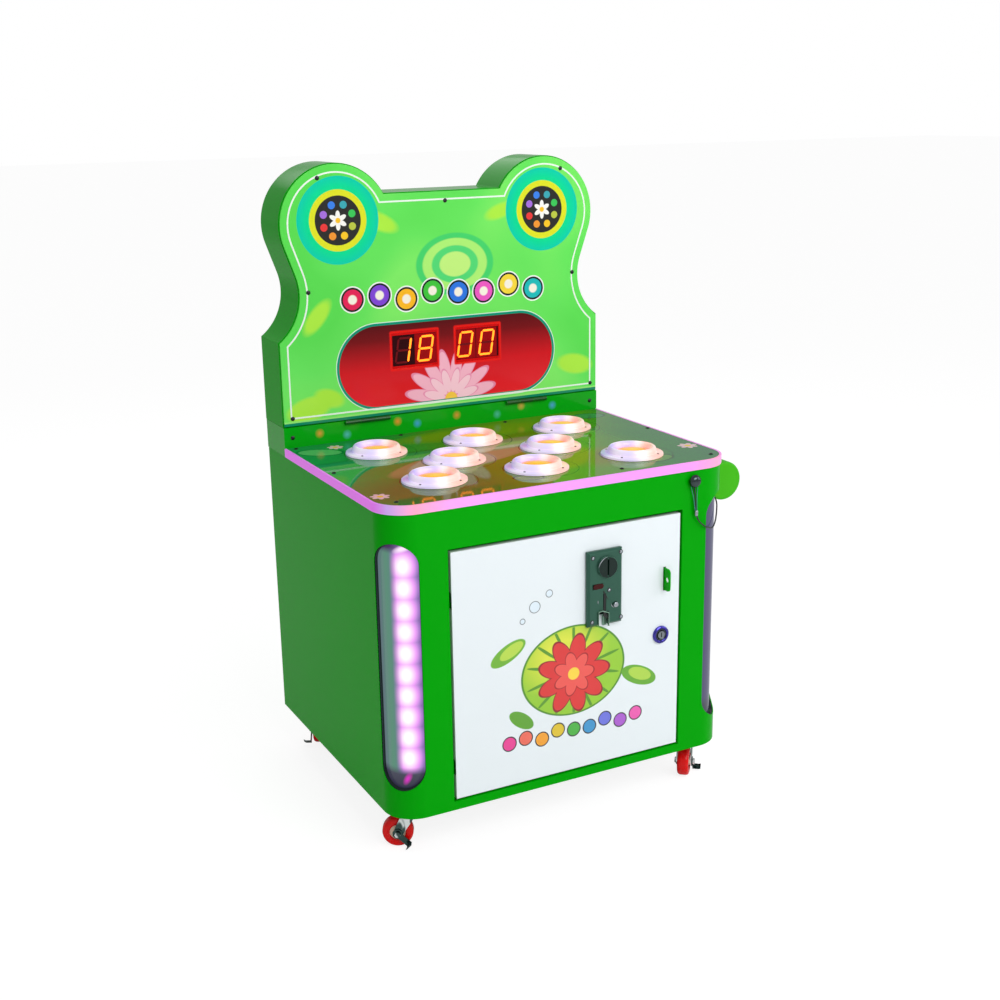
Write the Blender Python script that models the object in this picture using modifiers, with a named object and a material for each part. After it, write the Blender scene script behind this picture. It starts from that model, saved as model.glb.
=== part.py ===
"""Pounding game cabinet for small children, as an assembly of separate pieces.

A sheet-metal cabinet on four braked swivel casters carries a playing deck with eight lit
pads, a header with two round lobes and a scoring panel that folds down over the deck, a
coin door, two lit corner windows and a mallet on a tether. The cabinet is laid out with
x = 0 on its centre plane, y = 0 at the front edge of the deck and z = 0 on the floor.
Every piece hangs from one empty that puts the middle of the whole at the origin.
Metres, +Z up, the front faces -Y.
"""
import math

import bmesh
import bpy
from mathutils import Matrix, Vector

# Main sizes of the cabinet
CAB_W = 0.618
CAB_D = 0.523
BODY_H = 0.492
FOOT_H = 0.070
SHEET = 0.0015
CORNER_R = 0.052
FLANGE_W = 0.020
GAP = 0.0003
CUT_OVER = 0.010
SINK = 0.0002
MERGE = 0.00001
CORNER_STEPS = 6

# Deck with its lit edge strip
RIM_OVER = 0.002
RIM_H = 0.015
RIM_W = 0.004
DECK_PLAY = 0.0002

# Header and the low box that it folds on
HEADER_D = 0.0925
RISER_H = 0.035
HEADER_OVER = 0.001
HEADER_H = 0.435
LOBE_R_share = 0.49691
LOBE_X_share = 0.3195
LOBE_Z_share = 0.7706
WAIST_R_share = 0.47062
WAIST_X_share = 0.5890
WAIST_Z_share = 0.5111
NOTCH_Z_share = 0.8805
HEADER_LIP = 0.014
FACE_T = 0.003
CABLE_R = 0.012

# Score windows and the displays behind them
WINDOW_W = 0.087
WINDOW_H = 0.062
WINDOW_LEFT_X_share = -0.1035
WINDOW_RIGHT_X_share = 0.0970
WINDOW_Z_share = 0.2690
DISPLAY_T = 0.016
DISPLAY_MARGIN = 0.006
DISPLAY_FRAME = 0.0035
DISPLAY_SINK = 0.006
DIGIT_H = 0.046
DIGIT_W = 0.0235
DIGIT_BAR = 0.0045
DIGIT_RISE = 0.0012
DIGIT_LEAN = 0.105
DIGIT_PITCH = 0.037

# Header hinges
HINGE_L = 0.084
HINGE_X_share = 0.2540
KNUCKLE_R = 0.0035
HINGE_OUT = 0.0038
HINGE_DOWN = 0.0020
PIN_R = 0.0018
PIN_PLAY = 0.0004
WEB_T = 0.0040

# Door with its frame
DOOR_W_share = 0.6686
DOOR_H_share = 0.8245
DOOR_Z_share = 0.0380
DOOR_GAP = 0.0025
DOOR_SHEET = 0.0012
DOOR_RETURN = 0.012
FRAME_DEPTH = 0.018
FRAME_LIP = 0.012
DOOR_PIN_IN = 0.0060
DOOR_PIN_BACK = 0.0047
DOOR_KNUCKLE_R = 0.0030
DOOR_PIN_R = 0.0016
DOOR_KNUCKLE_H = 0.020
DOOR_LEAF_T = 0.0020
DOOR_HINGE_Z_shares = (0.16, 0.84)
RETURN_NOTCH = 0.026

# Padlock tab that reaches out through the door
TAB_X_share = 0.9310
TAB_Z_share = 0.7350
TAB_H = 0.038
TAB_T = 0.0025
TAB_OUT = 0.016
TAB_HOLE_R = 0.0045
TAB_SLOT_PLAY = 0.0014
TAB_FOOT_LAP = 0.005

# Coin entry, its mechanism and the door lock
PLATE_W = 0.0645
PLATE_H = 0.1256
PLATE_T = 0.009
PLATE_BEVEL = 0.0035
PLATE_X_share = 0.6445
PLATE_Z_share = 0.7540
PLATE_NOTCH_W = 0.019
PLATE_NOTCH_H = 0.023
PLATE_NOTCH_X_share = 0.440
DIAL_R = 0.018
DIAL_T = 0.0035
DIAL_X_share = 0.540
DIAL_Z_share = 0.778
COIN_SLOT_W = 0.0032
COIN_SLOT_H = 0.027
RETURN_SLOT_W = 0.0055
RETURN_SLOT_H = 0.040
RETURN_SLOT_X_share = 0.475
RETURN_SLOT_Z_share = 0.265
SIGHT_W = 0.020
SIGHT_H = 0.009
SIGHT_X_share = 0.270
SIGHT_Z_share = 0.535
PUSH_R = 0.0046
PUSH_OUT = 0.004
PUSH_TRAVEL = 0.003
PUSH_X_share = 0.780
PUSH_Z_share = 0.255
MECH_W = 0.052
MECH_H = 0.100
MECH_D = 0.058
MECH_WALL = 0.003
LOCK_X_share = 0.9150
LOCK_Z_share = 0.4990
LOCK_R = 0.015
LOCK_OUT = 0.004
LOCK_BARREL_R = 0.0105
PLUG_R = 0.0065
CAM_L = 0.0320
CAM_W = 0.012
CAM_T = 0.002
CAM_PLAY = 0.003
KEY_W = 0.0016
KEY_H = 0.0080

# Lit corner windows
WIN_LOW_share = 0.0950
WIN_HIGH_share = 0.9100
WIN_W = 0.072
LENS_BACK = 0.0075
LENS_T = 0.003
LENS_LAP = 0.006
LED_STRIP_W = 0.014
LED_STRIP_T = 0.002
LED_R = 0.004
LED_OUT = 0.002
LED_COUNT = 10
LED_BACK = 0.0240

# Pads: middle of each as shares of the deck's width and depth
PAD_share_table = (
    (-0.2987, 0.7542), (-0.0111, 0.7450), (0.2781, 0.7531),
    (-0.1551, 0.4872), (0.1344, 0.4855),
    (-0.2873, 0.2590), (-0.0092, 0.2250), (0.2786, 0.2217),
)
PAD_R = 0.052
PAD_FLANGE = 0.0042
PAD_RING_R = 0.0403
PAD_CREST = 0.013
PAD_CREST_R = 0.0352
PAD_MOUTH_R = 0.0297
PAD_NECK_R = 0.0425
PAD_NECK = 0.028
PAD_WALL = 0.003
PAD_LIP = 0.006
PAD_STEM_R = 0.0055
PAD_TOP = 0.003
PAD_TRAVEL = 0.004
PAD_PLAY = 0.0004
PAD_FACETS = 16

# Casters
CASTER_X = 0.043
CASTER_Y = 0.055
WHEEL_R = 0.025
WHEEL_W = 0.020
HUB_R = 0.0165
HUB_SINK = 0.002
AXLE_R = 0.003
AXLE_PLAY = 0.0003
TRAIL = 0.018
FORK_T = 0.002
FORK_PLAY = 0.0013
FORK_TOP = 0.0085
FORK_R = 0.015
FORK_PLATE = 0.0035
BOSS_R = 0.008
CASTER_PLATE_T = 0.002
CASTER_PLATE_W = 0.056
CUP_R = 0.0145
CUP_H = 0.006
KING_R = 0.004
KING_HEAD_R = 0.007
KING_HEAD_T = 0.003
KING_PLAY = 0.0004
BRAKE_T = 0.0015
BRAKE_REACH = 0.0265
BRAKE_W = 0.010
PEDAL_OUT = 0.014
PEDAL_CURL = 0.004
BRAKE_BOSS_R = 0.0085
BRAKE_ANGLE = math.radians(-135)
WHEEL_FACETS = 16
CASTER_TURNS = {"fl": math.radians(152.6), "fr": math.radians(228.2),
                "rl": math.radians(62.6), "rr": math.radians(100.0)}

# Back of the cabinet
LOUVRE_W = 0.120
LOUVRE_H = 0.008
LOUVRE_OUT = 0.0045
LOUVRE_PITCH_share = 0.040
LOUVRE_ROWS = 5
LOUVRE_X_share = 0.20
LOUVRE_Z_share = 0.70
INLET_W = 0.049
INLET_H = 0.060
INLET_OUT = 0.003
INLET_DEEP = 0.028
INLET_WALL = 0.003
INLET_X_share = -0.33
INLET_Z_share = 0.14
SOCKET_W = 0.025
SOCKET_H = 0.018
SOCKET_DEEP = 0.018
BLADE = 0.002
BLADE_H = 0.006
BLADE_L = 0.014
BLADE_shares = ((-0.28, -0.12), (0.28, -0.12), (0, 0.2))
ROCKER_W = 0.014
ROCKER_H = 0.018
ROCKER_T = 0.005
ROCKER_TILT = math.radians(10)

# Things inside
CASHBOX_W = 0.160
CASHBOX_D = 0.150
CASHBOX_H = 0.130
CASHBOX_WALL = 0.0015
SUPPLY_W = 0.100
SUPPLY_D = 0.160
SUPPLY_H = 0.040
BOARD_W = 0.150
BOARD_H = 0.110
BOARD_T = 0.0016
BOARD_OFF = 0.008
CHIP_T = 0.010
SPEAKER_R = 0.050
SPEAKER_T = 0.022
TRAY_H = 0.010

# Tether anchor, holder and mallet
ANCHOR_R = 0.0108
ANCHOR_OUT = 0.008
ANCHOR_NECK = 0.004
ANCHOR_NECK_R = 0.0045
ANCHOR_STEM_R = 0.003
ANCHOR_STEM = 0.010
ANCHOR_X_share = 0.3738
ANCHOR_Z_share = 0.9660
MALLET_R = 0.0335
MALLET_L = 0.112
MALLET_CHAMFER = 0.004
MALLET_OUT = 0.037
MALLET_Y_share = 0.1380
MALLET_Z_share = 0.8990
HANDLE_R = 0.0125
HANDLE_GRIP_R = 0.0140
HANDLE_L = 0.215
HOLDER_T = 0.003
HOLDER_D = 0.060
HOLDER_REACH = 0.068
HOLDER_DROP = 0.050
HOLDER_SLOT = 0.033

# Tether
TETHER_R = 0.00125
TETHER_STEP = 0.0075


# Route of the tether: below the anchor, round the corner, over the holder, loop to the handle
HANG_shares = (
    (0.029, 3.6, 0.0534), (0.058, 4.4, 0.1103), (0.150, 4.5, 0.1357), (0.300, 4.0, 0.1520),
    (0.4615, 3.2, 0.1640),
)
ROUND_shares = (
    (-83.57, 1.0296, 0.1703), (-75.36, 0.9819, 0.1764), (-64.89, 0.9515, 0.1762),
    (-53.32, 0.9400, 0.1612), (-38.29, 0.9310, 0.1348), (-19.88, 0.9612, 0.1124),
    (4.12, 1.0700, 0.1022),
)
OVER_shares = (
    (0.162, -0.87, 9.2), (0.149, -0.47, 2.5), (0.149, 0, 1.5), (0.149, 0.46, 1.7),
    (0.152, 0.68, 0.2),
)
LOOP_shares = (
    (0.189, 0.2595, 0.1093), (0.270, 0.2967, 0.3186), (0.405, 0.2780, 0.5744),
    (0.595, 0.2037, 0.8300), (0.784, 0.1107, 0.9790), (0.946, 0.0316, 1.0023),
    (1, 0, 0.9465),
)


def world(z_body):
    """Height above the floor of a height above the cabinet's lower edge."""
    return FOOT_H + z_body


# Places that follow from the sizes
Y_FRONT = RIM_OVER
Y_REAR = RIM_OVER + CAB_D
Y_RISER = Y_REAR - HEADER_D
X_SIDE = CAB_W / 2
HEADER_W = CAB_W + 2 * HEADER_OVER
Z_LOW = world(0)
Z_TOP = world(BODY_H)
Z_DECK = Z_TOP + RIM_H
Z_JOINT = Z_DECK + RISER_H
Z_HEADER = Z_JOINT + GAP
DECK_W = CAB_W + 2 * RIM_OVER
DECK_D = Y_RISER
DECK_R = CORNER_R + RIM_OVER

DOOR_W = CAB_W * DOOR_W_share
DOOR_H = BODY_H * DOOR_H_share
DOOR_X0 = -DOOR_W / 2
DOOR_Z0 = world(BODY_H * DOOR_Z_share)
DOOR_PIN_X = DOOR_X0 + DOOR_PIN_IN
DOOR_PIN_Y = Y_FRONT + DOOR_PIN_BACK
LIP_Y = Y_FRONT + FRAME_DEPTH
LIP_BACK = LIP_Y + SHEET

TAB_X = DOOR_X0 + DOOR_W * TAB_X_share
TAB_Z = DOOR_Z0 + DOOR_H * TAB_Z_share
PLATE_X = DOOR_X0 + DOOR_W * PLATE_X_share
PLATE_Z = DOOR_Z0 + DOOR_H * PLATE_Z_share
LOCK_X = DOOR_X0 + DOOR_W * LOCK_X_share
LOCK_Z = DOOR_Z0 + DOOR_H * LOCK_Z_share

ANCHOR_X = CAB_W * ANCHOR_X_share
ANCHOR_Z = world(BODY_H * ANCHOR_Z_share)
MALLET_X = X_SIDE + MALLET_OUT
MALLET_Y = CAB_D * MALLET_Y_share
MALLET_Z = world(BODY_H * MALLET_Z_share)
MALLET_MID = MALLET_Y + MALLET_L / 2
HOLDER_Z = MALLET_Z - MALLET_R

HINGE_Y = Y_RISER - HINGE_OUT
HINGE_Z = Z_JOINT - HINGE_DOWN
HINGE_X = HEADER_W * HINGE_X_share

SHIFT_X = -(MALLET_X + MALLET_R - DECK_W / 2) / 2
SHIFT_Y = -(Y_REAR + LOUVRE_OUT + Y_FRONT - TAB_OUT) / 2

for old in list(bpy.data.objects):
    bpy.data.objects.remove(old, do_unlink=True)

PARTS = bpy.data.collections.new("pounding_game_cabinet")
TOOLS = bpy.data.collections.new("cutters")
bpy.context.scene.collection.children.link(PARTS)
bpy.context.scene.collection.children.link(TOOLS)

ROOT = bpy.data.objects.new("frame", None)
ROOT.location = (SHIFT_X, SHIFT_Y, 0)
PARTS.objects.link(ROOT)


def linear(value):
    """Linear light of an 8-bit screen colour channel."""
    value = value / 255
    if value <= 0.04045:
        return value / 12.92
    return ((value + 0.055) / 1.055) ** 2.4


def material(name, rgb, roughness, metallic=0.0, alpha=1.0):
    mat = bpy.data.materials.new(name)
    mat.use_nodes = True
    shader = mat.node_tree.nodes["Principled BSDF"]
    colour = [linear(channel) for channel in rgb] + [1]
    shader.inputs["Base Color"].default_value = colour
    shader.inputs["Roughness"].default_value = roughness
    shader.inputs["Metallic"].default_value = metallic
    shader.inputs["Alpha"].default_value = alpha
    mat.diffuse_color = colour
    return mat


GREEN = material("green_paint", (4, 158, 22), 0.18)
FACE_GREEN = material("face_green", (112, 230, 98), 0.12)
WHITE = material("door_white", (234, 242, 246), 0.2)
DECK_PRINT = material("deck_print", (96, 140, 40), 0.08)
PINK = material("rim_pink", (246, 170, 250), 0.3)
LENS = material("lens_clear", (190, 178, 190), 0.25, alpha=0.6)
LED = material("led_strip", (250, 225, 250), 0.4)
PAD_WHITE = material("pad_white", (248, 228, 234), 0.2)
PAD_YELLOW = material("pad_yellow", (240, 190, 40), 0.35)
RED_LENS = material("display_red", (120, 10, 8), 0.2)
STEEL = material("zinc_steel", (176, 180, 182), 0.35, 1.0)
CHROME = material("chrome", (214, 218, 222), 0.12, 1.0)
COIN_METAL = material("coin_metal", (74, 84, 80), 0.35, 1.0)
DARK = material("dark_plastic", (36, 40, 44), 0.45)
BOARD_GREEN = material("board_green", (28, 88, 48), 0.5)
TYRE = material("wheel_red", (208, 20, 18), 0.3)
MALLET_GREEN = material("mallet_green", (50, 176, 8), 0.45)
WIRE = material("tether_wire", (44, 44, 46), 0.4)


def place(obj, mat, coll=PARTS, parent=ROOT):
    """Put an object in its collection, under its parent, with its material."""
    for owner in list(obj.users_collection):
        owner.objects.unlink(obj)
    coll.objects.link(obj)
    obj.parent = parent
    if mat is not None:
        obj.data.materials.clear()
        obj.data.materials.append(mat)
    if coll is TOOLS:
        obj.hide_render = True
        obj.display_type = "WIRE"
    return obj


def named(obj, name):
    obj.name = name
    obj.data.name = name
    return obj


def tool(obj, parent=ROOT):
    return place(obj, None, TOOLS, parent)


def box(name, low, high, mat=None, coll=PARTS, parent=ROOT):
    """A block between two corners."""
    low = Vector(low)
    high = Vector(high)
    bpy.ops.mesh.primitive_cube_add(size=1)
    obj = named(bpy.context.object, name)
    size = high - low
    obj.data.transform(Matrix.Diagonal((*size, 1)))
    obj.location = (low + high) / 2
    return place(obj, mat, coll, parent)


AXES = {"X": Matrix.Rotation(math.radians(90), 4, "Y"),
        "Y": Matrix.Rotation(math.radians(-90), 4, "X"),
        "Z": Matrix.Identity(4)}


def cylinder(name, radius, start, length, axis, facets, mat=None, coll=PARTS, parent=ROOT,
             radius2=None):
    """A round bar or cone from a point along an axis; a flat side faces each main way."""
    top = radius if radius2 is None else radius2
    bpy.ops.mesh.primitive_cone_add(vertices=facets, radius1=radius, radius2=top,
                                    depth=length)
    obj = named(bpy.context.object, name)
    half = Matrix.Translation((0, 0, length / 2))
    turn = Matrix.Rotation(math.pi / facets, 4, "Z")
    obj.data.transform(AXES[axis] @ half @ turn)
    obj.data.shade_smooth()
    obj.data.set_sharp_from_angle(angle=math.radians(35))
    obj.location = start
    return place(obj, mat, coll, parent)


def turned(name, profile, facets, mat=None, coll=PARTS, parent=ROOT, closed=True, axis="Z",
           location=(0, 0, 0)):
    """Turn a profile of (radius, height) points about an axis through the location."""
    mesh = bpy.data.meshes.new(name)
    work = bmesh.new()
    verts = [work.verts.new((radius, 0, height)) for radius, height in profile]
    pairs = list(zip(verts, verts[1:]))
    if closed:
        pairs.append((verts[-1], verts[0]))
    for first, second in pairs:
        work.edges.new((first, second))
    work.to_mesh(mesh)
    work.free()
    obj = bpy.data.objects.new(name, mesh)
    bpy.context.scene.collection.objects.link(obj)
    screw = obj.modifiers.new("turn", "SCREW")
    screw.axis = "Z"
    screw.steps = facets
    screw.render_steps = facets
    screw.use_merge_vertices = True
    screw.merge_threshold = MERGE
    screw.use_smooth_shade = True
    obj.matrix_basis = Matrix.Translation(location) @ AXES[axis]
    return place(obj, mat, coll, parent)


def extrusion(name, loops, low, high, axis="Z", mat=None, coll=PARTS, parent=ROOT):
    """A flat outline with its holes, extruded between two values along an axis.

    Loops hold (x, y) points for axis Z, (x, z) for Y and (y, z) for X.
    """
    curve = bpy.data.curves.new(name, "CURVE")
    curve.dimensions = "2D"
    curve.fill_mode = "BOTH"
    curve.extrude = (high - low) / 2
    for loop in loops:
        spline = curve.splines.new("POLY")
        spline.points.add(len(loop) - 1)
        for point, (u, v) in zip(spline.points, loop):
            point.co = (u, v, 0, 1)
        spline.use_cyclic_u = True
    source = bpy.data.objects.new(name + "_outline", curve)
    bpy.context.scene.collection.objects.link(source)
    middle = (low + high) / 2
    if axis == "Z":
        frame = Matrix.Translation((0, 0, middle))
    elif axis == "Y":
        frame = Matrix.Translation((0, middle, 0)) @ Matrix.Rotation(math.radians(90), 4, "X")
    else:
        frame = Matrix.Translation((middle, 0, 0)) @ Matrix(
            ((0, 0, 1, 0), (1, 0, 0, 0), (0, 1, 0, 0), (0, 0, 0, 1)))
    bpy.context.view_layer.update()
    graph = bpy.context.evaluated_depsgraph_get()
    mesh = bpy.data.meshes.new_from_object(source.evaluated_get(graph))
    work = bmesh.new()
    work.from_mesh(mesh)
    bmesh.ops.remove_doubles(work, verts=work.verts, dist=MERGE)
    bmesh.ops.recalc_face_normals(work, faces=work.faces)
    work.to_mesh(mesh)
    work.free()
    mesh.transform(frame)
    mesh.name = name
    bpy.data.objects.remove(source, do_unlink=True)
    bpy.data.curves.remove(curve)
    obj = bpy.data.objects.new(name, mesh)
    bpy.context.scene.collection.objects.link(obj)
    return place(obj, mat, coll, parent)


def boolean(obj, other, operation):
    step = obj.modifiers.new(operation.lower(), "BOOLEAN")
    step.operation = operation
    step.solver = "EXACT"
    step.object = other
    return obj


def cut(obj, *others):
    for other in others:
        boolean(obj, other, "DIFFERENCE")
    return obj


def add(obj, *others):
    for other in others:
        boolean(obj, other, "UNION")
    return obj


def bevel(obj, width, segments=1):
    step = obj.modifiers.new("bevel", "BEVEL")
    step.width = width
    step.segments = segments
    step.limit_method = "ANGLE"
    step.angle_limit = math.radians(50)
    return obj


def arc(centre, radius, start, end, steps):
    """Points of an arc, both ends included; angles in degrees."""
    points = []
    for index in range(steps + 1):
        angle = math.radians(start + (end - start) * index / steps)
        points.append((centre[0] + radius * math.cos(angle),
                       centre[1] + radius * math.sin(angle)))
    return points


def joint_empty(name, location, turn=0.0):
    empty = bpy.data.objects.new(name, None)
    empty.empty_display_size = 0.03
    empty.location = location
    empty.rotation_euler = (0, 0, turn)
    PARTS.objects.link(empty)
    empty.parent = ROOT
    return empty


def hang(empty, *objects):
    """Parent finished pieces to a joint's empty without moving them."""
    for obj in objects:
        obj.parent = empty
        obj.matrix_basis = Matrix.Translation(-empty.location) @ obj.matrix_basis


def tray(name, low, high, open_axis, open_side, thickness, mat=None, coll=PARTS):
    """A folded sheet box without one of its six sides."""
    obj = box(name, low, high, mat, coll)
    work = bmesh.new()
    work.from_mesh(obj.data)
    gone = [face for face in work.faces if face.normal[open_axis] * open_side > 0.5]
    bmesh.ops.delete(work, geom=gone, context="FACES_ONLY")
    work.to_mesh(obj.data)
    work.free()
    thicken(obj, thickness)
    return obj


def thicken(obj, thickness):
    step = obj.modifiers.new("sheet", "SOLIDIFY")
    step.thickness = thickness
    step.offset = -1
    step.use_even_offset = True
    return obj


def baked(obj):
    """The finished mesh of an object and of its tools, which are then removed."""
    bpy.context.view_layer.update()
    graph = bpy.context.evaluated_depsgraph_get()
    mesh = bpy.data.meshes.new_from_object(obj.evaluated_get(graph))
    tools = [step.object for step in obj.modifiers if step.type == "BOOLEAN"]
    for item in tools + [obj]:
        bpy.data.objects.remove(item, do_unlink=True)
    return mesh


def copy_of(name, mesh, location, parent=ROOT):
    obj = bpy.data.objects.new(name, mesh)
    obj.location = location
    PARTS.objects.link(obj)
    obj.parent = parent
    return obj


def row(obj, count, offset):
    step = obj.modifiers.new("row", "ARRAY")
    step.use_relative_offset = False
    step.use_constant_offset = True
    step.constant_offset_displace = offset
    step.count = count
    return obj


def plan(inset, rear, half=X_SIDE, front=Y_FRONT, radius=CORNER_R):
    """Left rear to right rear round the front of the cabinet, drawn in by the inset."""
    middle_x = half - radius
    middle_y = front + radius
    points = [(inset - half, rear)]
    points += arc((-middle_x, middle_y), radius - inset, 180, 270, CORNER_STEPS)
    points += arc((middle_x, middle_y), radius - inset, 270, 360, CORNER_STEPS)
    points.append((half - inset, rear))
    return points


def stadium(width, low, high, steps=9):
    """Upright slot with round ends, in (u, z)."""
    half = width / 2
    points = arc((0, low + half), half, 180, 360, steps)
    points += arc((0, high - half), half, 0, 180, steps)
    return points


# Cabinet shell: one folded sheet round the front corners, with its top flange,
# the door frame, the window cut-outs and the tab for a padlock
SHELL_REAR = Y_REAR - SHEET - GAP
outer = [(FLANGE_W - X_SIDE, SHELL_REAR)] + plan(0, SHELL_REAR)
outer += [(X_SIDE - FLANGE_W, SHELL_REAR)]
inner = [(X_SIDE - FLANGE_W, SHELL_REAR - SHEET)]
inner += list(reversed(plan(SHEET, SHELL_REAR - SHEET)))
inner += [(FLANGE_W - X_SIDE, SHELL_REAR - SHEET)]
shell = extrusion("cabinet_shell", [outer + inner], Z_LOW, Z_TOP, "Z", GREEN)
straight_x = X_SIDE - CORNER_R
straight_y = Y_FRONT + CORNER_R
flange_low = Z_TOP - GAP - SHEET
top_flange = [
    box("tool_front_flange", (-straight_x, Y_FRONT + SHEET / 2, flange_low),
        (straight_x, Y_FRONT + FLANGE_W, Z_TOP - GAP), coll=TOOLS),
    box("tool_left_flange", (SHEET / 2 - X_SIDE, straight_y, flange_low),
        (FLANGE_W - X_SIDE, SHELL_REAR - FLANGE_W, Z_TOP - GAP), coll=TOOLS),
    box("tool_right_flange", (X_SIDE - FLANGE_W, straight_y, flange_low),
        (X_SIDE - SHEET / 2, SHELL_REAR - FLANGE_W, Z_TOP - GAP), coll=TOOLS),
]
frame_low = DOOR_Z0 - DOOR_GAP
frame_high = DOOR_Z0 + DOOR_H + DOOR_GAP
frame_half = DOOR_W / 2 + DOOR_GAP
frame_block = box("tool_frame", (-frame_half - SHEET, Y_FRONT + SINK, frame_low - SHEET),
                  (frame_half + SHEET, LIP_BACK, frame_high + SHEET), coll=TOOLS)
frame_room = box("tool_frame_room", (-frame_half, Y_FRONT - CUT_OVER, frame_low),
                 (frame_half, LIP_Y, frame_high), coll=TOOLS)
frame_hole = box("tool_frame_hole", (FRAME_LIP - frame_half, Y_FRONT, frame_low + FRAME_LIP),
                 (frame_half - FRAME_LIP, LIP_BACK + CUT_OVER, frame_high - FRAME_LIP),
                 coll=TOOLS)
add(shell, frame_block, *top_flange)
cut(shell, frame_room, frame_hole)

WIN_LOW = world(BODY_H * WIN_LOW_share)
WIN_HIGH = world(BODY_H * WIN_HIGH_share)
SIDES = {"left": -1, "right": 1}
for side, sign in SIDES.items():
    hole = tool(extrusion("tool_window_" + side, [stadium(WIN_W, WIN_LOW, WIN_HIGH)],
                          -CORNER_R - CUT_OVER, -CORNER_R / 2, "Y"))
    hole.location = (sign * (X_SIDE - CORNER_R), Y_FRONT + CORNER_R, 0)
    hole.rotation_euler = (0, 0, sign * math.pi / 4)
    cut(shell, hole)

tab_y0 = Y_FRONT - TAB_OUT
tab_y1 = LIP_BACK + TAB_T
tab_round = TAB_H / 6
tab_low = TAB_Z - TAB_H / 2
tab_high = TAB_Z + TAB_H / 2
tab_outline = [(tab_y1, tab_high)]
tab_outline += arc((tab_y0 + tab_round, tab_high - tab_round), tab_round, 90, 180, 4)
tab_outline += arc((tab_y0 + tab_round, tab_low + tab_round), tab_round, 180, 270, 4)
tab_outline += [(tab_y1, tab_low)]
tab_eye = arc((Y_FRONT - TAB_OUT / 2, TAB_Z), TAB_HOLE_R, 0, 330, 11)
tab = tool(extrusion("tool_tab", [tab_outline, tab_eye], TAB_X - TAB_T / 2,
                     TAB_X + TAB_T / 2, "X"))
tab_foot = box("tool_tab_foot", (TAB_X - TAB_T / 4, LIP_BACK - SINK, tab_low + SINK),
               (frame_half - FRAME_LIP + TAB_FOOT_LAP, LIP_BACK + TAB_T - SINK,
                tab_high - SINK), coll=TOOLS)
add(tab, tab_foot)
add(shell, tab)

hinge_heights = [DOOR_Z0 + DOOR_H * part for part in DOOR_HINGE_Z_shares]
for index, height in enumerate(hinge_heights):
    foot = (DOOR_PIN_X, DOOR_PIN_Y, height - DOOR_KNUCKLE_H)
    knuckle = cylinder("tool_frame_knuckle", DOOR_KNUCKLE_R, foot, DOOR_KNUCKLE_H, "Z", 16,
                       coll=TOOLS)
    pin = cylinder("tool_frame_pin", DOOR_PIN_R, (DOOR_PIN_X, DOOR_PIN_Y, height - DOOR_PIN_R),
                   DOOR_KNUCKLE_H, "Z", 12, coll=TOOLS)
    leaf = box("tool_frame_leaf",
               (DOOR_PIN_X - DOOR_LEAF_T / 2, DOOR_PIN_Y, height - DOOR_KNUCKLE_H + SINK),
               (DOOR_PIN_X + DOOR_LEAF_T / 2, LIP_Y + SHEET / 2, height - SINK), coll=TOOLS)
    add(knuckle, pin, leaf)
    add(shell, knuckle)

anchor_hole = cylinder("tool_anchor_hole", ANCHOR_STEM_R + GAP,
                       (ANCHOR_X, Y_FRONT - CUT_OVER, ANCHOR_Z), 2 * CUT_OVER, "Y", 16,
                       coll=TOOLS)
cut(shell, anchor_hole)

# Base panel: a shallow tray inside the shell, with the casters' plates and king pins
BASE_IN = SHEET + GAP
base_rear = SHELL_REAR - SHEET - GAP
base = extrusion("base_panel", [plan(BASE_IN, base_rear)], Z_LOW, Z_LOW + TRAY_H, "Z", STEEL)
base_room = tool(extrusion("tool_base_room", [plan(BASE_IN + SHEET, base_rear - SHEET)],
                           Z_LOW + SHEET, Z_LOW + TRAY_H + CUT_OVER))
cut(base, base_room)
CASTER_SPOTS = {
    "fl": (CASTER_X - X_SIDE, Y_FRONT + CASTER_Y),
    "fr": (X_SIDE - CASTER_X, Y_FRONT + CASTER_Y),
    "rl": (CASTER_X - X_SIDE, Y_REAR - CASTER_Y - SHEET),
    "rr": (X_SIDE - CASTER_X, Y_REAR - CASTER_Y - SHEET),
}
king_head_z = -CASTER_PLATE_T - CUP_H - FORK_PLATE - KING_PLAY - GAP
for corner, (x, y) in CASTER_SPOTS.items():
    plate = box("tool_caster_plate",
                (x - CASTER_PLATE_W / 2, y - CASTER_PLATE_W / 2, Z_LOW - CASTER_PLATE_T),
                (x + CASTER_PLATE_W / 2, y + CASTER_PLATE_W / 2, Z_LOW + SINK), coll=TOOLS)
    king = turned("tool_king_pin", [
        (0, SINK), (CUP_R, SINK), (CUP_R, -CASTER_PLATE_T - CUP_H),
        (KING_R, -CASTER_PLATE_T - CUP_H), (KING_R, king_head_z),
        (KING_HEAD_R, king_head_z), (KING_HEAD_R, king_head_z - KING_HEAD_T),
        (0, king_head_z - KING_HEAD_T)], 10, coll=TOOLS, closed=False,
        location=(x, y, Z_LOW))
    add(plate, king)
    add(base, plate)

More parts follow.
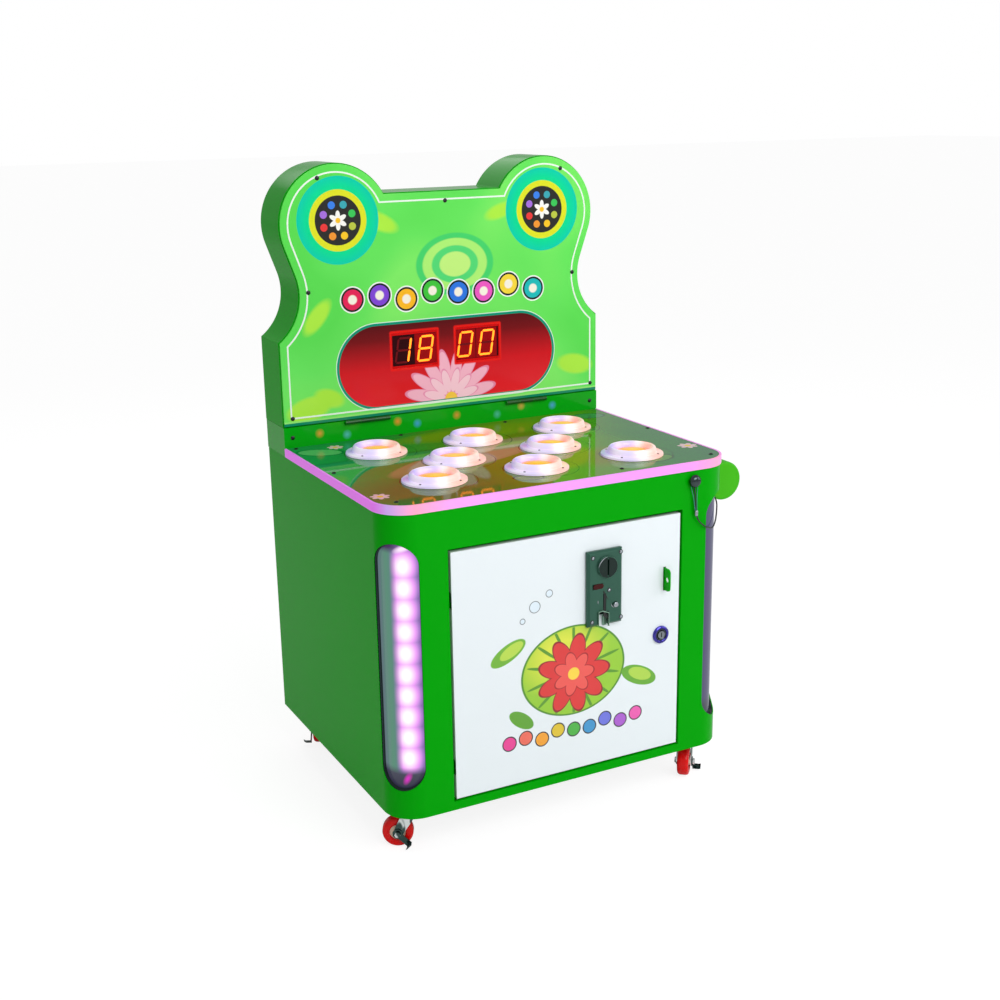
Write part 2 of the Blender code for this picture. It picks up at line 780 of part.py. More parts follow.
# Back panel with its louvres and the hole for the mains inlet
back = box("back_panel", (SHEET - X_SIDE, Y_REAR - SHEET, Z_LOW + SHEET),
           (X_SIDE - SHEET, Y_REAR, Z_JOINT - SHEET), GREEN)
louvre_z = world(BODY_H * LOUVRE_Z_share)
louvre_step = BODY_H * LOUVRE_PITCH_share
louvre_hood = [(Y_REAR - SINK, louvre_z + LOUVRE_H), (Y_REAR - SINK, louvre_z),
               (Y_REAR + LOUVRE_OUT, louvre_z),
               (Y_REAR + LOUVRE_OUT, louvre_z + SHEET),
               (Y_REAR + SHEET, louvre_z + LOUVRE_H)]
louvre_room = [(Y_REAR - CUT_OVER, louvre_z + LOUVRE_H - SHEET),
               (Y_REAR - CUT_OVER, louvre_z - SINK),
               (Y_REAR + LOUVRE_OUT - SHEET, louvre_z - SINK),
               (Y_REAR, louvre_z + LOUVRE_H - SHEET)]
for side, sign in SIDES.items():
    middle = sign * CAB_W * LOUVRE_X_share
    hood = tool(extrusion("tool_louvre_hood", [louvre_hood], middle - LOUVRE_W / 2,
                          middle + LOUVRE_W / 2, "X"))
    row(hood, LOUVRE_ROWS, (0, 0, louvre_step))
    room = tool(extrusion("tool_louvre_room", [louvre_room], middle - LOUVRE_W / 2 + SHEET,
                          middle + LOUVRE_W / 2 - SHEET, "X"))
    row(room, LOUVRE_ROWS, (0, 0, louvre_step))
    add(back, hood)
    cut(back, room)
INLET_X = CAB_W * INLET_X_share
INLET_Z = world(BODY_H * INLET_Z_share)
inlet_body_w = INLET_W - 2 * INLET_WALL
inlet_body_h = INLET_H - 2 * INLET_WALL
cut(back, box("tool_inlet_hole",
              (INLET_X - inlet_body_w / 2 - GAP, Y_REAR - CUT_OVER,
               INLET_Z - inlet_body_h / 2 - GAP),
              (INLET_X + inlet_body_w / 2 + GAP, Y_REAR + CUT_OVER,
               INLET_Z + inlet_body_h / 2 + GAP),
              coll=TOOLS))

# Mains inlet: flange, body, socket with three blades and the well of the switch
inlet = box("power_inlet", (INLET_X - INLET_W / 2, Y_REAR + GAP, INLET_Z - INLET_H / 2),
            (INLET_X + INLET_W / 2, Y_REAR + INLET_OUT, INLET_Z + INLET_H / 2), DARK)
bevel(inlet, SHEET / 2)
inlet_body = box("tool_inlet_body",
                 (INLET_X - inlet_body_w / 2, Y_REAR - INLET_DEEP, INLET_Z - inlet_body_h / 2),
                 (INLET_X + inlet_body_w / 2, Y_REAR + GAP + SINK, INLET_Z + inlet_body_h / 2),
                 coll=TOOLS)
SOCKET_Z = INLET_Z - INLET_H / 4 + INLET_WALL / 2
ROCKER_Z = INLET_Z + INLET_H / 4
socket_y = Y_REAR + INLET_OUT - SOCKET_DEEP
socket = box("tool_socket", (INLET_X - SOCKET_W / 2, socket_y, SOCKET_Z - SOCKET_H / 2),
             (INLET_X + SOCKET_W / 2, Y_REAR + CUT_OVER, SOCKET_Z + SOCKET_H / 2), coll=TOOLS)
bevel(socket, SHEET)
well_depth = ROCKER_T + 3 * SHEET
well = box("tool_switch_well",
           (INLET_X - ROCKER_W / 2 - 2 * GAP, Y_REAR + INLET_OUT - well_depth,
            ROCKER_Z - ROCKER_H / 2 - 3 * GAP),
           (INLET_X + ROCKER_W / 2 + 2 * GAP, Y_REAR + CUT_OVER,
            ROCKER_Z + ROCKER_H / 2 + 3 * GAP), coll=TOOLS)
add(inlet, inlet_body)
cut(inlet, socket, well)
for blade_x, blade_z in BLADE_shares:
    x = INLET_X + SOCKET_W * blade_x
    z = SOCKET_Z + SOCKET_H * blade_z
    add(inlet, box("tool_blade", (x - BLADE / 2, socket_y - SINK, z - BLADE_H / 2),
                   (x + BLADE / 2, socket_y + BLADE_L, z + BLADE_H / 2), coll=TOOLS))

# Rocker of the mains switch, tilting about its middle
rocker_y = Y_REAR + INLET_OUT - ROCKER_T / 2 + GAP
rocker_axis = joint_empty("joint_power_rocker", (INLET_X, rocker_y, ROCKER_Z))
half_h = ROCKER_H / 2
rocker_profile = [(ROCKER_T / 2, half_h), (ROCKER_T / 2 - SHEET, 0), (ROCKER_T / 2, -half_h),
                  (0, -half_h), (-ROCKER_T / 2, -half_h / 3), (-ROCKER_T / 2, half_h / 3),
                  (0, half_h)]
rocker = extrusion("power_rocker", [rocker_profile], -ROCKER_W / 2, ROCKER_W / 2, "X", DARK,
                   parent=rocker_axis)
rocker.rotation_euler = (ROCKER_TILT, 0, 0)

# Riser: the low box across the rear that carries the header's hinges
riser = tray("riser_box", (-HEADER_W / 2, Y_RISER, Z_TOP + GAP),
             (HEADER_W / 2, SHELL_REAR, Z_JOINT), 2, -1, SHEET, GREEN)
cable_hole = cylinder("tool_cable_hole", CABLE_R,
                      (0, Y_RISER + HEADER_D / 2, Z_JOINT - CUT_OVER), 2 * CUT_OVER, "Z", 20,
                      coll=TOOLS)
cut(riser, cable_hole)
third = HINGE_L / 3
for side, sign in SIDES.items():
    hinge_x0 = sign * HINGE_X - HINGE_L / 2
    pin = cylinder("tool_hinge_pin", PIN_R, (hinge_x0 + PIN_R, HINGE_Y, HINGE_Z),
                   HINGE_L - 2 * PIN_R, "X", 10, coll=TOOLS)
    for start in (hinge_x0, hinge_x0 + 2 * third):
        knuckle = cylinder("tool_low_knuckle", KNUCKLE_R, (start, HINGE_Y, HINGE_Z), third,
                           "X", 12, coll=TOOLS)
        web = box("tool_low_web", (start + SINK, HINGE_Y, HINGE_Z - WEB_T),
                  (start + third - SINK, Y_RISER + SHEET / 2, HINGE_Z + SINK), coll=TOOLS)
        add(knuckle, web)
        add(pin, knuckle)
    add(riser, pin)

# Deck with its eight holes, and the lit strip round its edge
rim = extrusion("deck_light_rim", [plan(0, DECK_D - GAP, DECK_W / 2, 0, DECK_R)
                                   + list(reversed(plan(RIM_W, DECK_D - GAP, DECK_W / 2, 0,
                                                        DECK_R)))],
                Z_TOP + GAP, Z_DECK, "Z", PINK)
deck_in = RIM_W + GAP
deck = extrusion("deck_panel", [plan(deck_in, DECK_D - GAP, DECK_W / 2, 0, DECK_R)],
                 Z_TOP + GAP, Z_DECK - DECK_PLAY, "Z", DECK_PRINT)
PAD_SPOTS = [(DECK_W * x, DECK_D * y) for x, y in PAD_share_table]
pad_hole_r = (PAD_NECK_R + PAD_PLAY * 2) / math.cos(math.pi / PAD_FACETS)
for x, y in PAD_SPOTS:
    hole = cylinder("tool_pad_hole", pad_hole_r, (x, y, Z_TOP - CUT_OVER),
                    RIM_H + 2 * CUT_OVER, "Z", PAD_FACETS, coll=TOOLS)
    cut(deck, hole)

# Pads: a moulded ring with a cup below the deck, and a sprung button held in it
ring_low = -PAD_NECK
bezel_profile = [
    (PAD_CREST_R - SHEET, PAD_CREST), (PAD_CREST_R + SHEET, PAD_CREST),
    (PAD_RING_R, PAD_FLANGE), (PAD_R - SHEET, PAD_FLANGE * 0.9), (PAD_R, GAP),
    (PAD_NECK_R, GAP),
    (PAD_NECK_R, ring_low), (PAD_STEM_R + PAD_PLAY, ring_low),
    (PAD_STEM_R + PAD_PLAY, ring_low + PAD_WALL), (PAD_NECK_R - PAD_WALL, ring_low + PAD_WALL),
    (PAD_NECK_R - PAD_WALL, -PAD_LIP), (PAD_MOUTH_R, -PAD_LIP),
    (PAD_MOUTH_R, PAD_CREST * 0.6)]
bezel_mesh = baked(turned("pad_bezel", bezel_profile, PAD_FACETS, PAD_WHITE))
skirt_r = PAD_NECK_R - PAD_WALL - 2 * PAD_PLAY
button_r = PAD_MOUTH_R - PAD_PLAY
button_profile = [
    (0, PAD_TOP), (button_r, PAD_TOP), (button_r, -PAD_LIP - GAP), (skirt_r, -PAD_LIP - GAP),
    (skirt_r, -PAD_LIP - PAD_WALL), (PAD_STEM_R, -PAD_LIP - PAD_WALL),
    (PAD_STEM_R, ring_low - PAD_TRAVEL / 2), (0, ring_low - PAD_TRAVEL / 2)]
button_mesh = baked(turned("pad_button", button_profile, PAD_FACETS, PAD_YELLOW,
                           closed=False))
for index, (x, y) in enumerate(PAD_SPOTS, 1):
    copy_of("pad_bezel_%d" % index, bezel_mesh, (x, y, Z_DECK))
    copy_of("pad_button_%d" % index, button_mesh, (x, y, Z_DECK))


# Header: outline with two lobes over a waist, as a folded box behind an acrylic face
def header_outline(inset):
    """Closed outline in (x, z), drawn in by the inset; always the same count of points."""
    half = HEADER_W / 2
    lobe_x = HEADER_W * LOBE_X_share
    lobe_z = Z_HEADER + HEADER_H * LOBE_Z_share
    waist_x = HEADER_W * WAIST_X_share
    waist_z = Z_HEADER + HEADER_H * WAIST_Z_share
    notch = Z_HEADER + HEADER_H * NOTCH_Z_share - inset
    span = math.hypot(waist_x - lobe_x, waist_z - lobe_z)
    lobe_r = span * LOBE_R_share - inset
    waist_r = span * WAIST_R_share + inset
    shoulder = waist_z - math.sqrt(waist_r ** 2 - (waist_x - half + inset) ** 2)
    heading = math.atan2(lobe_z - waist_z, lobe_x - waist_x)
    lean = math.acos(LOBE_R_share + WAIST_R_share)
    waist_end = math.degrees(heading + lean)
    waist_start = 360 - math.degrees(math.acos((half - inset - waist_x) / waist_r))
    lobe_start = waist_end - 180
    lobe_end = 180 - math.degrees(math.asin((notch - lobe_z) / lobe_r))
    side = [(half - inset, Z_HEADER + inset), (half - inset, shoulder)]
    side += arc((waist_x, waist_z), waist_r, waist_start, waist_end, 7)[1:]
    side += arc((lobe_x, lobe_z), lobe_r, lobe_start, lobe_end, 16)
    return side + [(-x, z) for x, z in reversed(side)]


header_front = Y_RISER + FACE_T + GAP
header = bpy.data.objects.new("header_shell", bpy.data.meshes.new("header_shell"))
bpy.context.scene.collection.objects.link(header)
work = bmesh.new()
rings = []
for inset, y in ((HEADER_LIP, header_front), (0, header_front), (0, Y_REAR)):
    rings.append([work.verts.new((x, y, z)) for x, z in header_outline(inset)])
for near, far in zip(rings, rings[1:]):
    for index in range(len(near)):
        follow = (index + 1) % len(near)
        work.faces.new((near[index], far[index], far[follow], near[follow]))
work.faces.new(rings[-1])
bmesh.ops.recalc_face_normals(work, faces=work.faces)
if work.faces[-1].normal.y < 0:
    bmesh.ops.reverse_faces(work, faces=work.faces)
work.to_mesh(header.data)
work.free()
place(header, GREEN)
thicken(header, SHEET)
cut(header, cable_hole)
for side, sign in SIDES.items():
    start = sign * HINGE_X - HINGE_L / 2 + third + GAP
    length = third - 2 * GAP
    knuckle = cylinder("tool_high_knuckle", KNUCKLE_R, (start, HINGE_Y, HINGE_Z), length, "X",
                       12, coll=TOOLS)
    leaf = box("tool_high_leaf", (start + SINK, HINGE_Y, Z_HEADER + SINK / 2),
               (start + length - SINK, header_front + HEADER_LIP / 2,
                Z_HEADER + SHEET - SINK / 2), coll=TOOLS)
    bore = cylinder("tool_high_bore", PIN_R + PIN_PLAY, (start - CUT_OVER, HINGE_Y, HINGE_Z),
                    length + 2 * CUT_OVER, "X", 12, coll=TOOLS)
    add(knuckle, leaf)
    cut(knuckle, bore)
    add(header, knuckle)

WINDOWS = {"left": HEADER_W * WINDOW_LEFT_X_share, "right": HEADER_W * WINDOW_RIGHT_X_share}
WINDOW_Z = Z_HEADER + HEADER_H * WINDOW_Z_share


def rectangle(x, z, width, height):
    return [(x - width / 2, z - height / 2), (x + width / 2, z - height / 2),
            (x + width / 2, z + height / 2), (x - width / 2, z + height / 2)]


FACE_INSET = SHEET + GAP
header_face = extrusion("header_face", [header_outline(FACE_INSET)]
                        + [rectangle(x, WINDOW_Z, WINDOW_W, WINDOW_H)
                           for x in WINDOWS.values()],
                        Y_RISER, Y_RISER + FACE_T, "Y", FACE_GREEN)

# Two digit displays sunk behind the face, each a housing with two raised digits
SEGMENTS = {"0": "abcdef", "1": "bc", "8": "abcdefg"}
COUNTS = {"left": "18", "right": "00"}
display_y = Y_RISER + FACE_T + GAP
digit_y = display_y + DISPLAY_SINK


def segment_outline(letter, x, z):
    """One bar of a slanted seven-bar digit, in (x, z)."""
    bar = DIGIT_BAR / 2
    high = DIGIT_H / 2 - bar
    wide = DIGIT_W / 2 - bar
    ends = {"a": ((-wide, high), (wide, high)), "g": ((-wide, 0), (wide, 0)),
            "d": ((-wide, -high), (wide, -high)), "f": ((-wide, high), (-wide, 0)),
            "b": ((wide, high), (wide, 0)), "e": ((-wide, 0), (-wide, -high)),
            "c": ((wide, 0), (wide, -high))}[letter]
    (x0, z0), (x1, z1) = ends
    if z0 == z1:
        x0 += bar + GAP
        x1 -= bar + GAP
        points = [(x0, z0 - bar), (x1, z0 - bar), (x1, z0 + bar), (x0, z0 + bar)]
    else:
        z0 -= GAP * 2
        z1 += GAP * 2
        points = [(x0 - bar, z1), (x0 + bar, z1), (x0 + bar, z0), (x0 - bar, z0)]
    return [(x + u + v * DIGIT_LEAN, z + v) for u, v in points]


for side, x in WINDOWS.items():
    half_w = WINDOW_W / 2 + DISPLAY_MARGIN
    half_h = WINDOW_H / 2 + DISPLAY_MARGIN
    display = box("digit_display_" + side, (x - half_w, display_y, WINDOW_Z - half_h),
                  (x + half_w, display_y + DISPLAY_T, WINDOW_Z + half_h), RED_LENS)
    cut(display, box("tool_display_room", (x - WINDOW_W / 2 + DISPLAY_FRAME,
                                           display_y - CUT_OVER,
                                           WINDOW_Z - WINDOW_H / 2 + DISPLAY_FRAME),
                     (x + WINDOW_W / 2 - DISPLAY_FRAME, digit_y,
                      WINDOW_Z + WINDOW_H / 2 - DISPLAY_FRAME), coll=TOOLS))
    bars = []
    for place_index, digit in enumerate(COUNTS[side]):
        digit_x = x + (place_index - 0.5) * DIGIT_PITCH
        bars += [segment_outline(letter, digit_x, WINDOW_Z) for letter in SEGMENTS[digit]]
    add(display, tool(extrusion("tool_digits_" + side, bars, digit_y - DIGIT_RISE,
                                digit_y + SINK, "Y")))
header_axis = joint_empty("joint_header_fold", (0, HINGE_Y, HINGE_Z))
hang(header_axis, header, header_face, bpy.data.objects["digit_display_left"],
     bpy.data.objects["digit_display_right"])

# Door: a shallow pan with folded returns, hung on two lift-off pins at its left edge
door_axis = joint_empty("joint_door_swing", (DOOR_PIN_X, DOOR_PIN_Y, DOOR_Z0 + DOOR_H / 2))
door = tray("door_panel", (DOOR_X0, Y_FRONT, DOOR_Z0),
            (DOOR_X0 + DOOR_W, Y_FRONT + DOOR_RETURN, DOOR_Z0 + DOOR_H), 1, 1, DOOR_SHEET,
            WHITE)
for height in hinge_heights:
    start = (DOOR_PIN_X, DOOR_PIN_Y, height + GAP)
    knuckle = cylinder("tool_door_knuckle", DOOR_KNUCKLE_R, start, DOOR_KNUCKLE_H, "Z", 16,
                       coll=TOOLS)
    web = box("tool_door_web", (DOOR_PIN_X - DOOR_LEAF_T / 2, Y_FRONT + DOOR_SHEET / 2,
                                height + GAP + SINK),
              (DOOR_PIN_X + DOOR_LEAF_T / 2, DOOR_PIN_Y, height + GAP + DOOR_KNUCKLE_H - SINK),
              coll=TOOLS)
    bore = cylinder("tool_door_bore", DOOR_PIN_R + PIN_PLAY,
                    (DOOR_PIN_X, DOOR_PIN_Y, height - CUT_OVER), DOOR_KNUCKLE_H + CUT_OVER,
                    "Z", 16, coll=TOOLS)
    add(knuckle, web)
    cut(knuckle, bore)
    add(door, knuckle)
    cut(door, box("tool_return_notch",
                  (DOOR_X0 - CUT_OVER, Y_FRONT + DOOR_SHEET + GAP, height - RETURN_NOTCH),
                  (DOOR_X0 + DOOR_SHEET + GAP, Y_FRONT + DOOR_RETURN + CUT_OVER, height),
                  coll=TOOLS))
slot_half_x = TAB_T / 2 + TAB_SLOT_PLAY
slot_half_z = TAB_H / 2 + TAB_SLOT_PLAY
cut(door,
    box("tool_tab_slot", (TAB_X - slot_half_x, Y_FRONT - CUT_OVER, TAB_Z - slot_half_z),
        (TAB_X + slot_half_x, Y_FRONT + CUT_OVER, TAB_Z + slot_half_z), coll=TOOLS),
    box("tool_coin_hole", (PLATE_X - MECH_W / 2 + MECH_WALL, Y_FRONT - CUT_OVER,
                           PLATE_Z - MECH_H / 2 + MECH_WALL),
        (PLATE_X + MECH_W / 2 - MECH_WALL, Y_FRONT + CUT_OVER,
         PLATE_Z + MECH_H / 2 - MECH_WALL), coll=TOOLS),
    cylinder("tool_lock_hole", LOCK_BARREL_R + GAP, (LOCK_X, Y_FRONT - CUT_OVER, LOCK_Z),
             2 * CUT_OVER, "Y", 20, coll=TOOLS))

# Coin plate: a bevelled casting with its dial, slots, sight window and open notch
plate_x0 = PLATE_X - PLATE_W / 2
plate_z0 = PLATE_Z - PLATE_H / 2
plate_y0 = Y_FRONT - PLATE_T
notch_x = plate_x0 + PLATE_W * PLATE_NOTCH_X_share
notch_half = PLATE_NOTCH_W / 2
plate_outline = [
    (plate_x0, plate_z0), (notch_x - notch_half, plate_z0),
    (notch_x - notch_half, plate_z0 + PLATE_NOTCH_H),
    (notch_x + notch_half, plate_z0 + PLATE_NOTCH_H), (notch_x + notch_half, plate_z0),
    (plate_x0 + PLATE_W, plate_z0), (plate_x0 + PLATE_W, plate_z0 + PLATE_H),
    (plate_x0, plate_z0 + PLATE_H)]
coin_plate = extrusion("coin_plate", [plate_outline], plate_y0, Y_FRONT - GAP, "Y", COIN_METAL)
front_edges = coin_plate.data
work = bmesh.new()
work.from_mesh(front_edges)
bmesh.ops.dissolve_limit(work, angle_limit=math.radians(1), verts=work.verts,
                         edges=work.edges)
rims = [edge for edge in work.edges
        if all(abs(vert.co.y - plate_y0) < GAP for vert in edge.verts)
        and (all(abs(vert.co.x - plate_x0) < GAP for vert in edge.verts)
             or all(abs(vert.co.x - plate_x0 - PLATE_W) < GAP for vert in edge.verts)
             or all(abs(vert.co.z - plate_z0 - PLATE_H) < GAP for vert in edge.verts)
             or all(abs(vert.co.z - plate_z0) < GAP for vert in edge.verts))]
bmesh.ops.bevel(work, geom=rims, offset=PLATE_BEVEL, segments=1, affect="EDGES")
work.to_mesh(front_edges)
work.free()
DIAL_X = plate_x0 + PLATE_W * DIAL_X_share
DIAL_Z = plate_z0 + PLATE_H * DIAL_Z_share
dial_y0 = plate_y0 - DIAL_T
dial = cylinder("tool_dial", DIAL_R, (DIAL_X, plate_y0 + SINK, DIAL_Z), DIAL_T + SINK, "Y", 24,
                coll=TOOLS, radius2=DIAL_R * 0.94)
dial.data.transform(Matrix.Diagonal((1, -1, 1, 1)))
dial.data.flip_normals()
add(coin_plate, dial)
slot_x = plate_x0 + PLATE_W * RETURN_SLOT_X_share
slot_z = plate_z0 + PLATE_H * RETURN_SLOT_Z_share
sight_x = plate_x0 + PLATE_W * SIGHT_X_share
sight_z = plate_z0 + PLATE_H * SIGHT_Z_share
PUSH_X = plate_x0 + PLATE_W * PUSH_X_share
PUSH_Z = plate_z0 + PLATE_H * PUSH_Z_share
cut(coin_plate,
    box("tool_coin_slot", (DIAL_X - COIN_SLOT_W / 2, dial_y0 - CUT_OVER, DIAL_Z - COIN_SLOT_H / 2),
        (DIAL_X + COIN_SLOT_W / 2, Y_FRONT + CUT_OVER, DIAL_Z + COIN_SLOT_H / 2), coll=TOOLS),
    box("tool_return_slot", (slot_x - RETURN_SLOT_W / 2, plate_y0 - CUT_OVER,
                             slot_z - RETURN_SLOT_H / 2),
        (slot_x + RETURN_SLOT_W / 2, plate_y0 + PLATE_T / 2, slot_z + RETURN_SLOT_H / 2),
        coll=TOOLS),
    box("tool_sight", (sight_x - SIGHT_W / 2, plate_y0 - CUT_OVER, sight_z - SIGHT_H / 2),
        (sight_x + SIGHT_W / 2, plate_y0 + PLATE_T / 4, sight_z + SIGHT_H / 2), coll=TOOLS),
    cylinder("tool_push_hole", PUSH_R + GAP, (PUSH_X, plate_y0 - CUT_OVER, PUSH_Z),
             PLATE_T + 2 * CUT_OVER, "Y", 16, coll=TOOLS))

# Coin mechanism behind the door: a housing open below, where the coins drop out
mech_y0 = Y_FRONT + DOOR_SHEET + GAP
mech_x0 = PLATE_X - MECH_W / 2
mechanism = tray("coin_mechanism", (mech_x0, mech_y0, PLATE_Z - MECH_H / 2),
                 (mech_x0 + MECH_W, mech_y0 + MECH_D, PLATE_Z + MECH_H / 2), 2, -1, MECH_WALL,
                 DARK)
cut(mechanism,
    box("tool_mech_slot", (DIAL_X - COIN_SLOT_W, mech_y0 - CUT_OVER, DIAL_Z - COIN_SLOT_H / 2),
        (DIAL_X + COIN_SLOT_W, mech_y0 + CUT_OVER, DIAL_Z + COIN_SLOT_H / 2), coll=TOOLS),
    cylinder("tool_mech_push", PUSH_R / 2 + 2 * GAP, (PUSH_X, mech_y0 - CUT_OVER, PUSH_Z),
             2 * CUT_OVER, "Y", 12, coll=TOOLS))

# Coin return push: head in the plate, stem into the mechanism, collar inside it
push_axis = joint_empty("joint_coin_return", (PUSH_X, plate_y0, PUSH_Z))
push_head = mech_y0 - PUSH_TRAVEL - plate_y0 - 2 * GAP
stem_end = mech_y0 + MECH_WALL + GAP - plate_y0
push_profile = [
    (0, -PUSH_OUT), (PUSH_R * 0.75, -PUSH_OUT), (PUSH_R, -PUSH_OUT * 0.75),
    (PUSH_R, push_head), (PUSH_R / 2, push_head), (PUSH_R / 2, stem_end),
    (PUSH_R * 0.8, stem_end), (PUSH_R * 0.8, stem_end + SHEET), (0, stem_end + SHEET)]
push = turned("coin_return_lever", list(reversed(push_profile)), 16, CHROME, parent=push_axis,
              closed=False, axis="Y")

# Door lock: a fixed barrel with its collar, and the key plug with the cam behind
barrel_back = LIP_BACK + CAM_PLAY - Y_FRONT
lock_profile = [
    (PLUG_R + GAP, barrel_back), (LOCK_BARREL_R, barrel_back), (LOCK_BARREL_R, -GAP),
    (LOCK_R, -GAP), (LOCK_R, -LOCK_OUT / 2), (LOCK_R * 0.85, -LOCK_OUT),
    (PLUG_R + GAP, -LOCK_OUT)]
lock = turned("lock_body", lock_profile, 24, CHROME, axis="Y",
              location=(LOCK_X, Y_FRONT, LOCK_Z))
lock_axis = joint_empty("joint_lock_turn", (LOCK_X, Y_FRONT, LOCK_Z))
plug_front = -LOCK_OUT * 0.9
plug = cylinder("lock_cylinder", PLUG_R, (0, plug_front, 0), barrel_back + GAP + CAM_T / 2
                - plug_front, "Y", 20, CHROME, parent=lock_axis)
cam_y = barrel_back + GAP
cam_outline = arc((0, 0), CAM_W / 2 + SHEET, 180, 360, 6)
cam_outline += arc((0, CAM_L - CAM_W / 2), CAM_W / 2, 0, 180, 6)
cam = tool(extrusion("tool_cam", [cam_outline], cam_y, cam_y + CAM_T, "Y"), lock_axis)
add(plug, cam)
cut(plug, box("tool_key_slot", (-KEY_W / 2, plug_front - CUT_OVER, -KEY_H / 2),
              (KEY_W / 2, plug_front + PLUG_R, KEY_H / 2), coll=TOOLS, parent=lock_axis))
hang(door_axis, door, coin_plate, mechanism, lock)
for empty in (push_axis, lock_axis):
    empty.parent = door_axis
    empty.location = empty.location - door_axis.location

# Corner windows: a moulded lens sunk behind each opening, a light strip behind it
LENS_R = CORNER_R - LENS_BACK


def sector(outer_r, inner_r, half_angle):
    """Slice of a round wall that faces the front, in (x, y)."""
    points = arc((0, 0), outer_r, 270 - half_angle, 270 + half_angle, CORNER_STEPS + 1)
    return points + arc((0, 0), inner_r, 270 + half_angle, 270 - half_angle,
                        CORNER_STEPS + 1)


for side, sign in SIDES.items():
    middle = Vector((sign * (X_SIDE - CORNER_R), Y_FRONT + CORNER_R, 0))
    turn = sign * math.pi / 4
    lens_low = WIN_LOW - LENS_LAP
    lens_high = WIN_HIGH + LENS_LAP
    lens = extrusion("corner_lens_" + side,
                     [sector(CORNER_R - SHEET - 2 * GAP, LENS_R - LENS_T, 51)],
                     lens_low, lens_high, "Z", LENS)
    recess = tool(extrusion("tool_recess", [sector(CORNER_R + CUT_OVER, LENS_R, 60)],
                            lens_low - CUT_OVER, lens_high + CUT_OVER, "Z"))
    opening = tool(extrusion("tool_opening", [stadium(WIN_W - 2 * SHEET, WIN_LOW + SHEET,
                                                      WIN_HIGH - SHEET)],
                             -CORNER_R - 2 * CUT_OVER, -SHEET, "Y"))
    boolean(recess, opening, "INTERSECT")
    cut(lens, recess)
    strip_y = -LED_STRIP_T - LED_BACK / 2
    strip = box("led_strip_" + side, (-LED_STRIP_W / 2, strip_y, WIN_LOW),
                (LED_STRIP_W / 2, strip_y + LED_STRIP_T, WIN_HIGH), LED)
    led_z = world(BODY_H * 0.175)
    led_top = world(BODY_H * 0.809)
    led = box("tool_led", (-LED_R, strip_y - LED_OUT, led_z - LED_R),
              (LED_R, strip_y + SINK, led_z + LED_R), coll=TOOLS)
    row(led, LED_COUNT, (0, 0, (led_top - led_z) / (LED_COUNT - 1)))
    stay = box("tool_stay", (-LED_R, -LENS_R + LENS_T + 2 * GAP, WIN_LOW),
               (LED_R, strip_y + SINK, WIN_LOW + LED_STRIP_T), coll=TOOLS)
    row(stay, 2, (0, 0, WIN_HIGH - WIN_LOW - LED_STRIP_T))
    add(strip, led, stay)
    for item in (lens, recess, opening, strip, led, stay):
        item.matrix_basis = (Matrix.Translation(middle) @ Matrix.Rotation(turn, 4, "Z")
                             @ item.matrix_basis)

# Casters: fork, wheel and side brake, each built once and set at its own heading
axle_z = WHEEL_R - FOOT_H
top = -FORK_TOP
fork_half = WHEEL_W / 2 + FORK_PLAY + FORK_T
leg = [(-FORK_R * 0.75, top - SINK), (-FORK_R * 0.7, top - 2 * FORK_PLATE)]
leg += arc((TRAIL, axle_z), BOSS_R, 215, 395, 5)
leg += [(FORK_R * 0.95, top - 3 * FORK_PLATE), (FORK_R * 0.8, top - SINK)]
fork = extrusion("caster_fork", [leg], -fork_half, fork_half, "Y", CHROME)
room_x = TRAIL + BOSS_R + CUT_OVER
cut(fork, box("tool_fork_room", (-FORK_R - CUT_OVER, FORK_T - fork_half, axle_z - CUT_OVER),
              (room_x, fork_half - FORK_T, top - FORK_PLATE), coll=TOOLS))
dish = turned("tool_fork_dish", [(0, top), (FORK_R, top), (FORK_R, top - FORK_PLATE + SINK),
                                 (0, top - FORK_PLATE + SINK)], 12, coll=TOOLS, closed=False)
nut_y = fork_half + GAP + BRAKE_T + 2 * GAP
nut_t = AXLE_R
axle = cylinder("tool_axle", AXLE_R, (TRAIL, -fork_half - SINK, axle_z),
                2 * fork_half + GAP * 4 + BRAKE_T, "Y", 10, coll=TOOLS)
nut = cylinder("tool_axle_nut", AXLE_R * 1.7, (TRAIL, nut_y, axle_z), nut_t, "Y", 6,
               coll=TOOLS)
bolt = cylinder("tool_axle_bolt", AXLE_R * 1.7, (TRAIL, SINK - fork_half - nut_t, axle_z),
                nut_t, "Y", 6, coll=TOOLS)
add(fork, dish, axle, nut, bolt)
cut(fork, cylinder("tool_king_hole", KING_R + KING_PLAY, (0, 0, top - FORK_PLATE - CUT_OVER),
                   FORK_PLATE + 2 * CUT_OVER, "Z", 10, coll=TOOLS))
fork_mesh = baked(fork)

flat_r = WHEEL_R / math.cos(math.pi / WHEEL_FACETS)
half_w = WHEEL_W / 2
bore_r = AXLE_R + AXLE_PLAY
hub_end = half_w + FORK_PLAY - 2 * GAP
wheel_half = [(bore_r, hub_end), (bore_r * 2, hub_end), (HUB_R * 0.9, half_w - HUB_SINK),
              (HUB_R, half_w), (flat_r * 0.93, half_w), (flat_r, half_w * 0.72)]
wheel_profile = wheel_half + [(radius, -height) for radius, height in reversed(wheel_half)]
wheel = turned("caster_wheel", wheel_profile, WHEEL_FACETS, TYRE)
wheel.data.transform(Matrix.Rotation(math.pi / WHEEL_FACETS, 4, "Z"))
wheel_mesh = baked(wheel)
wheel_mesh.transform(AXES["Y"])

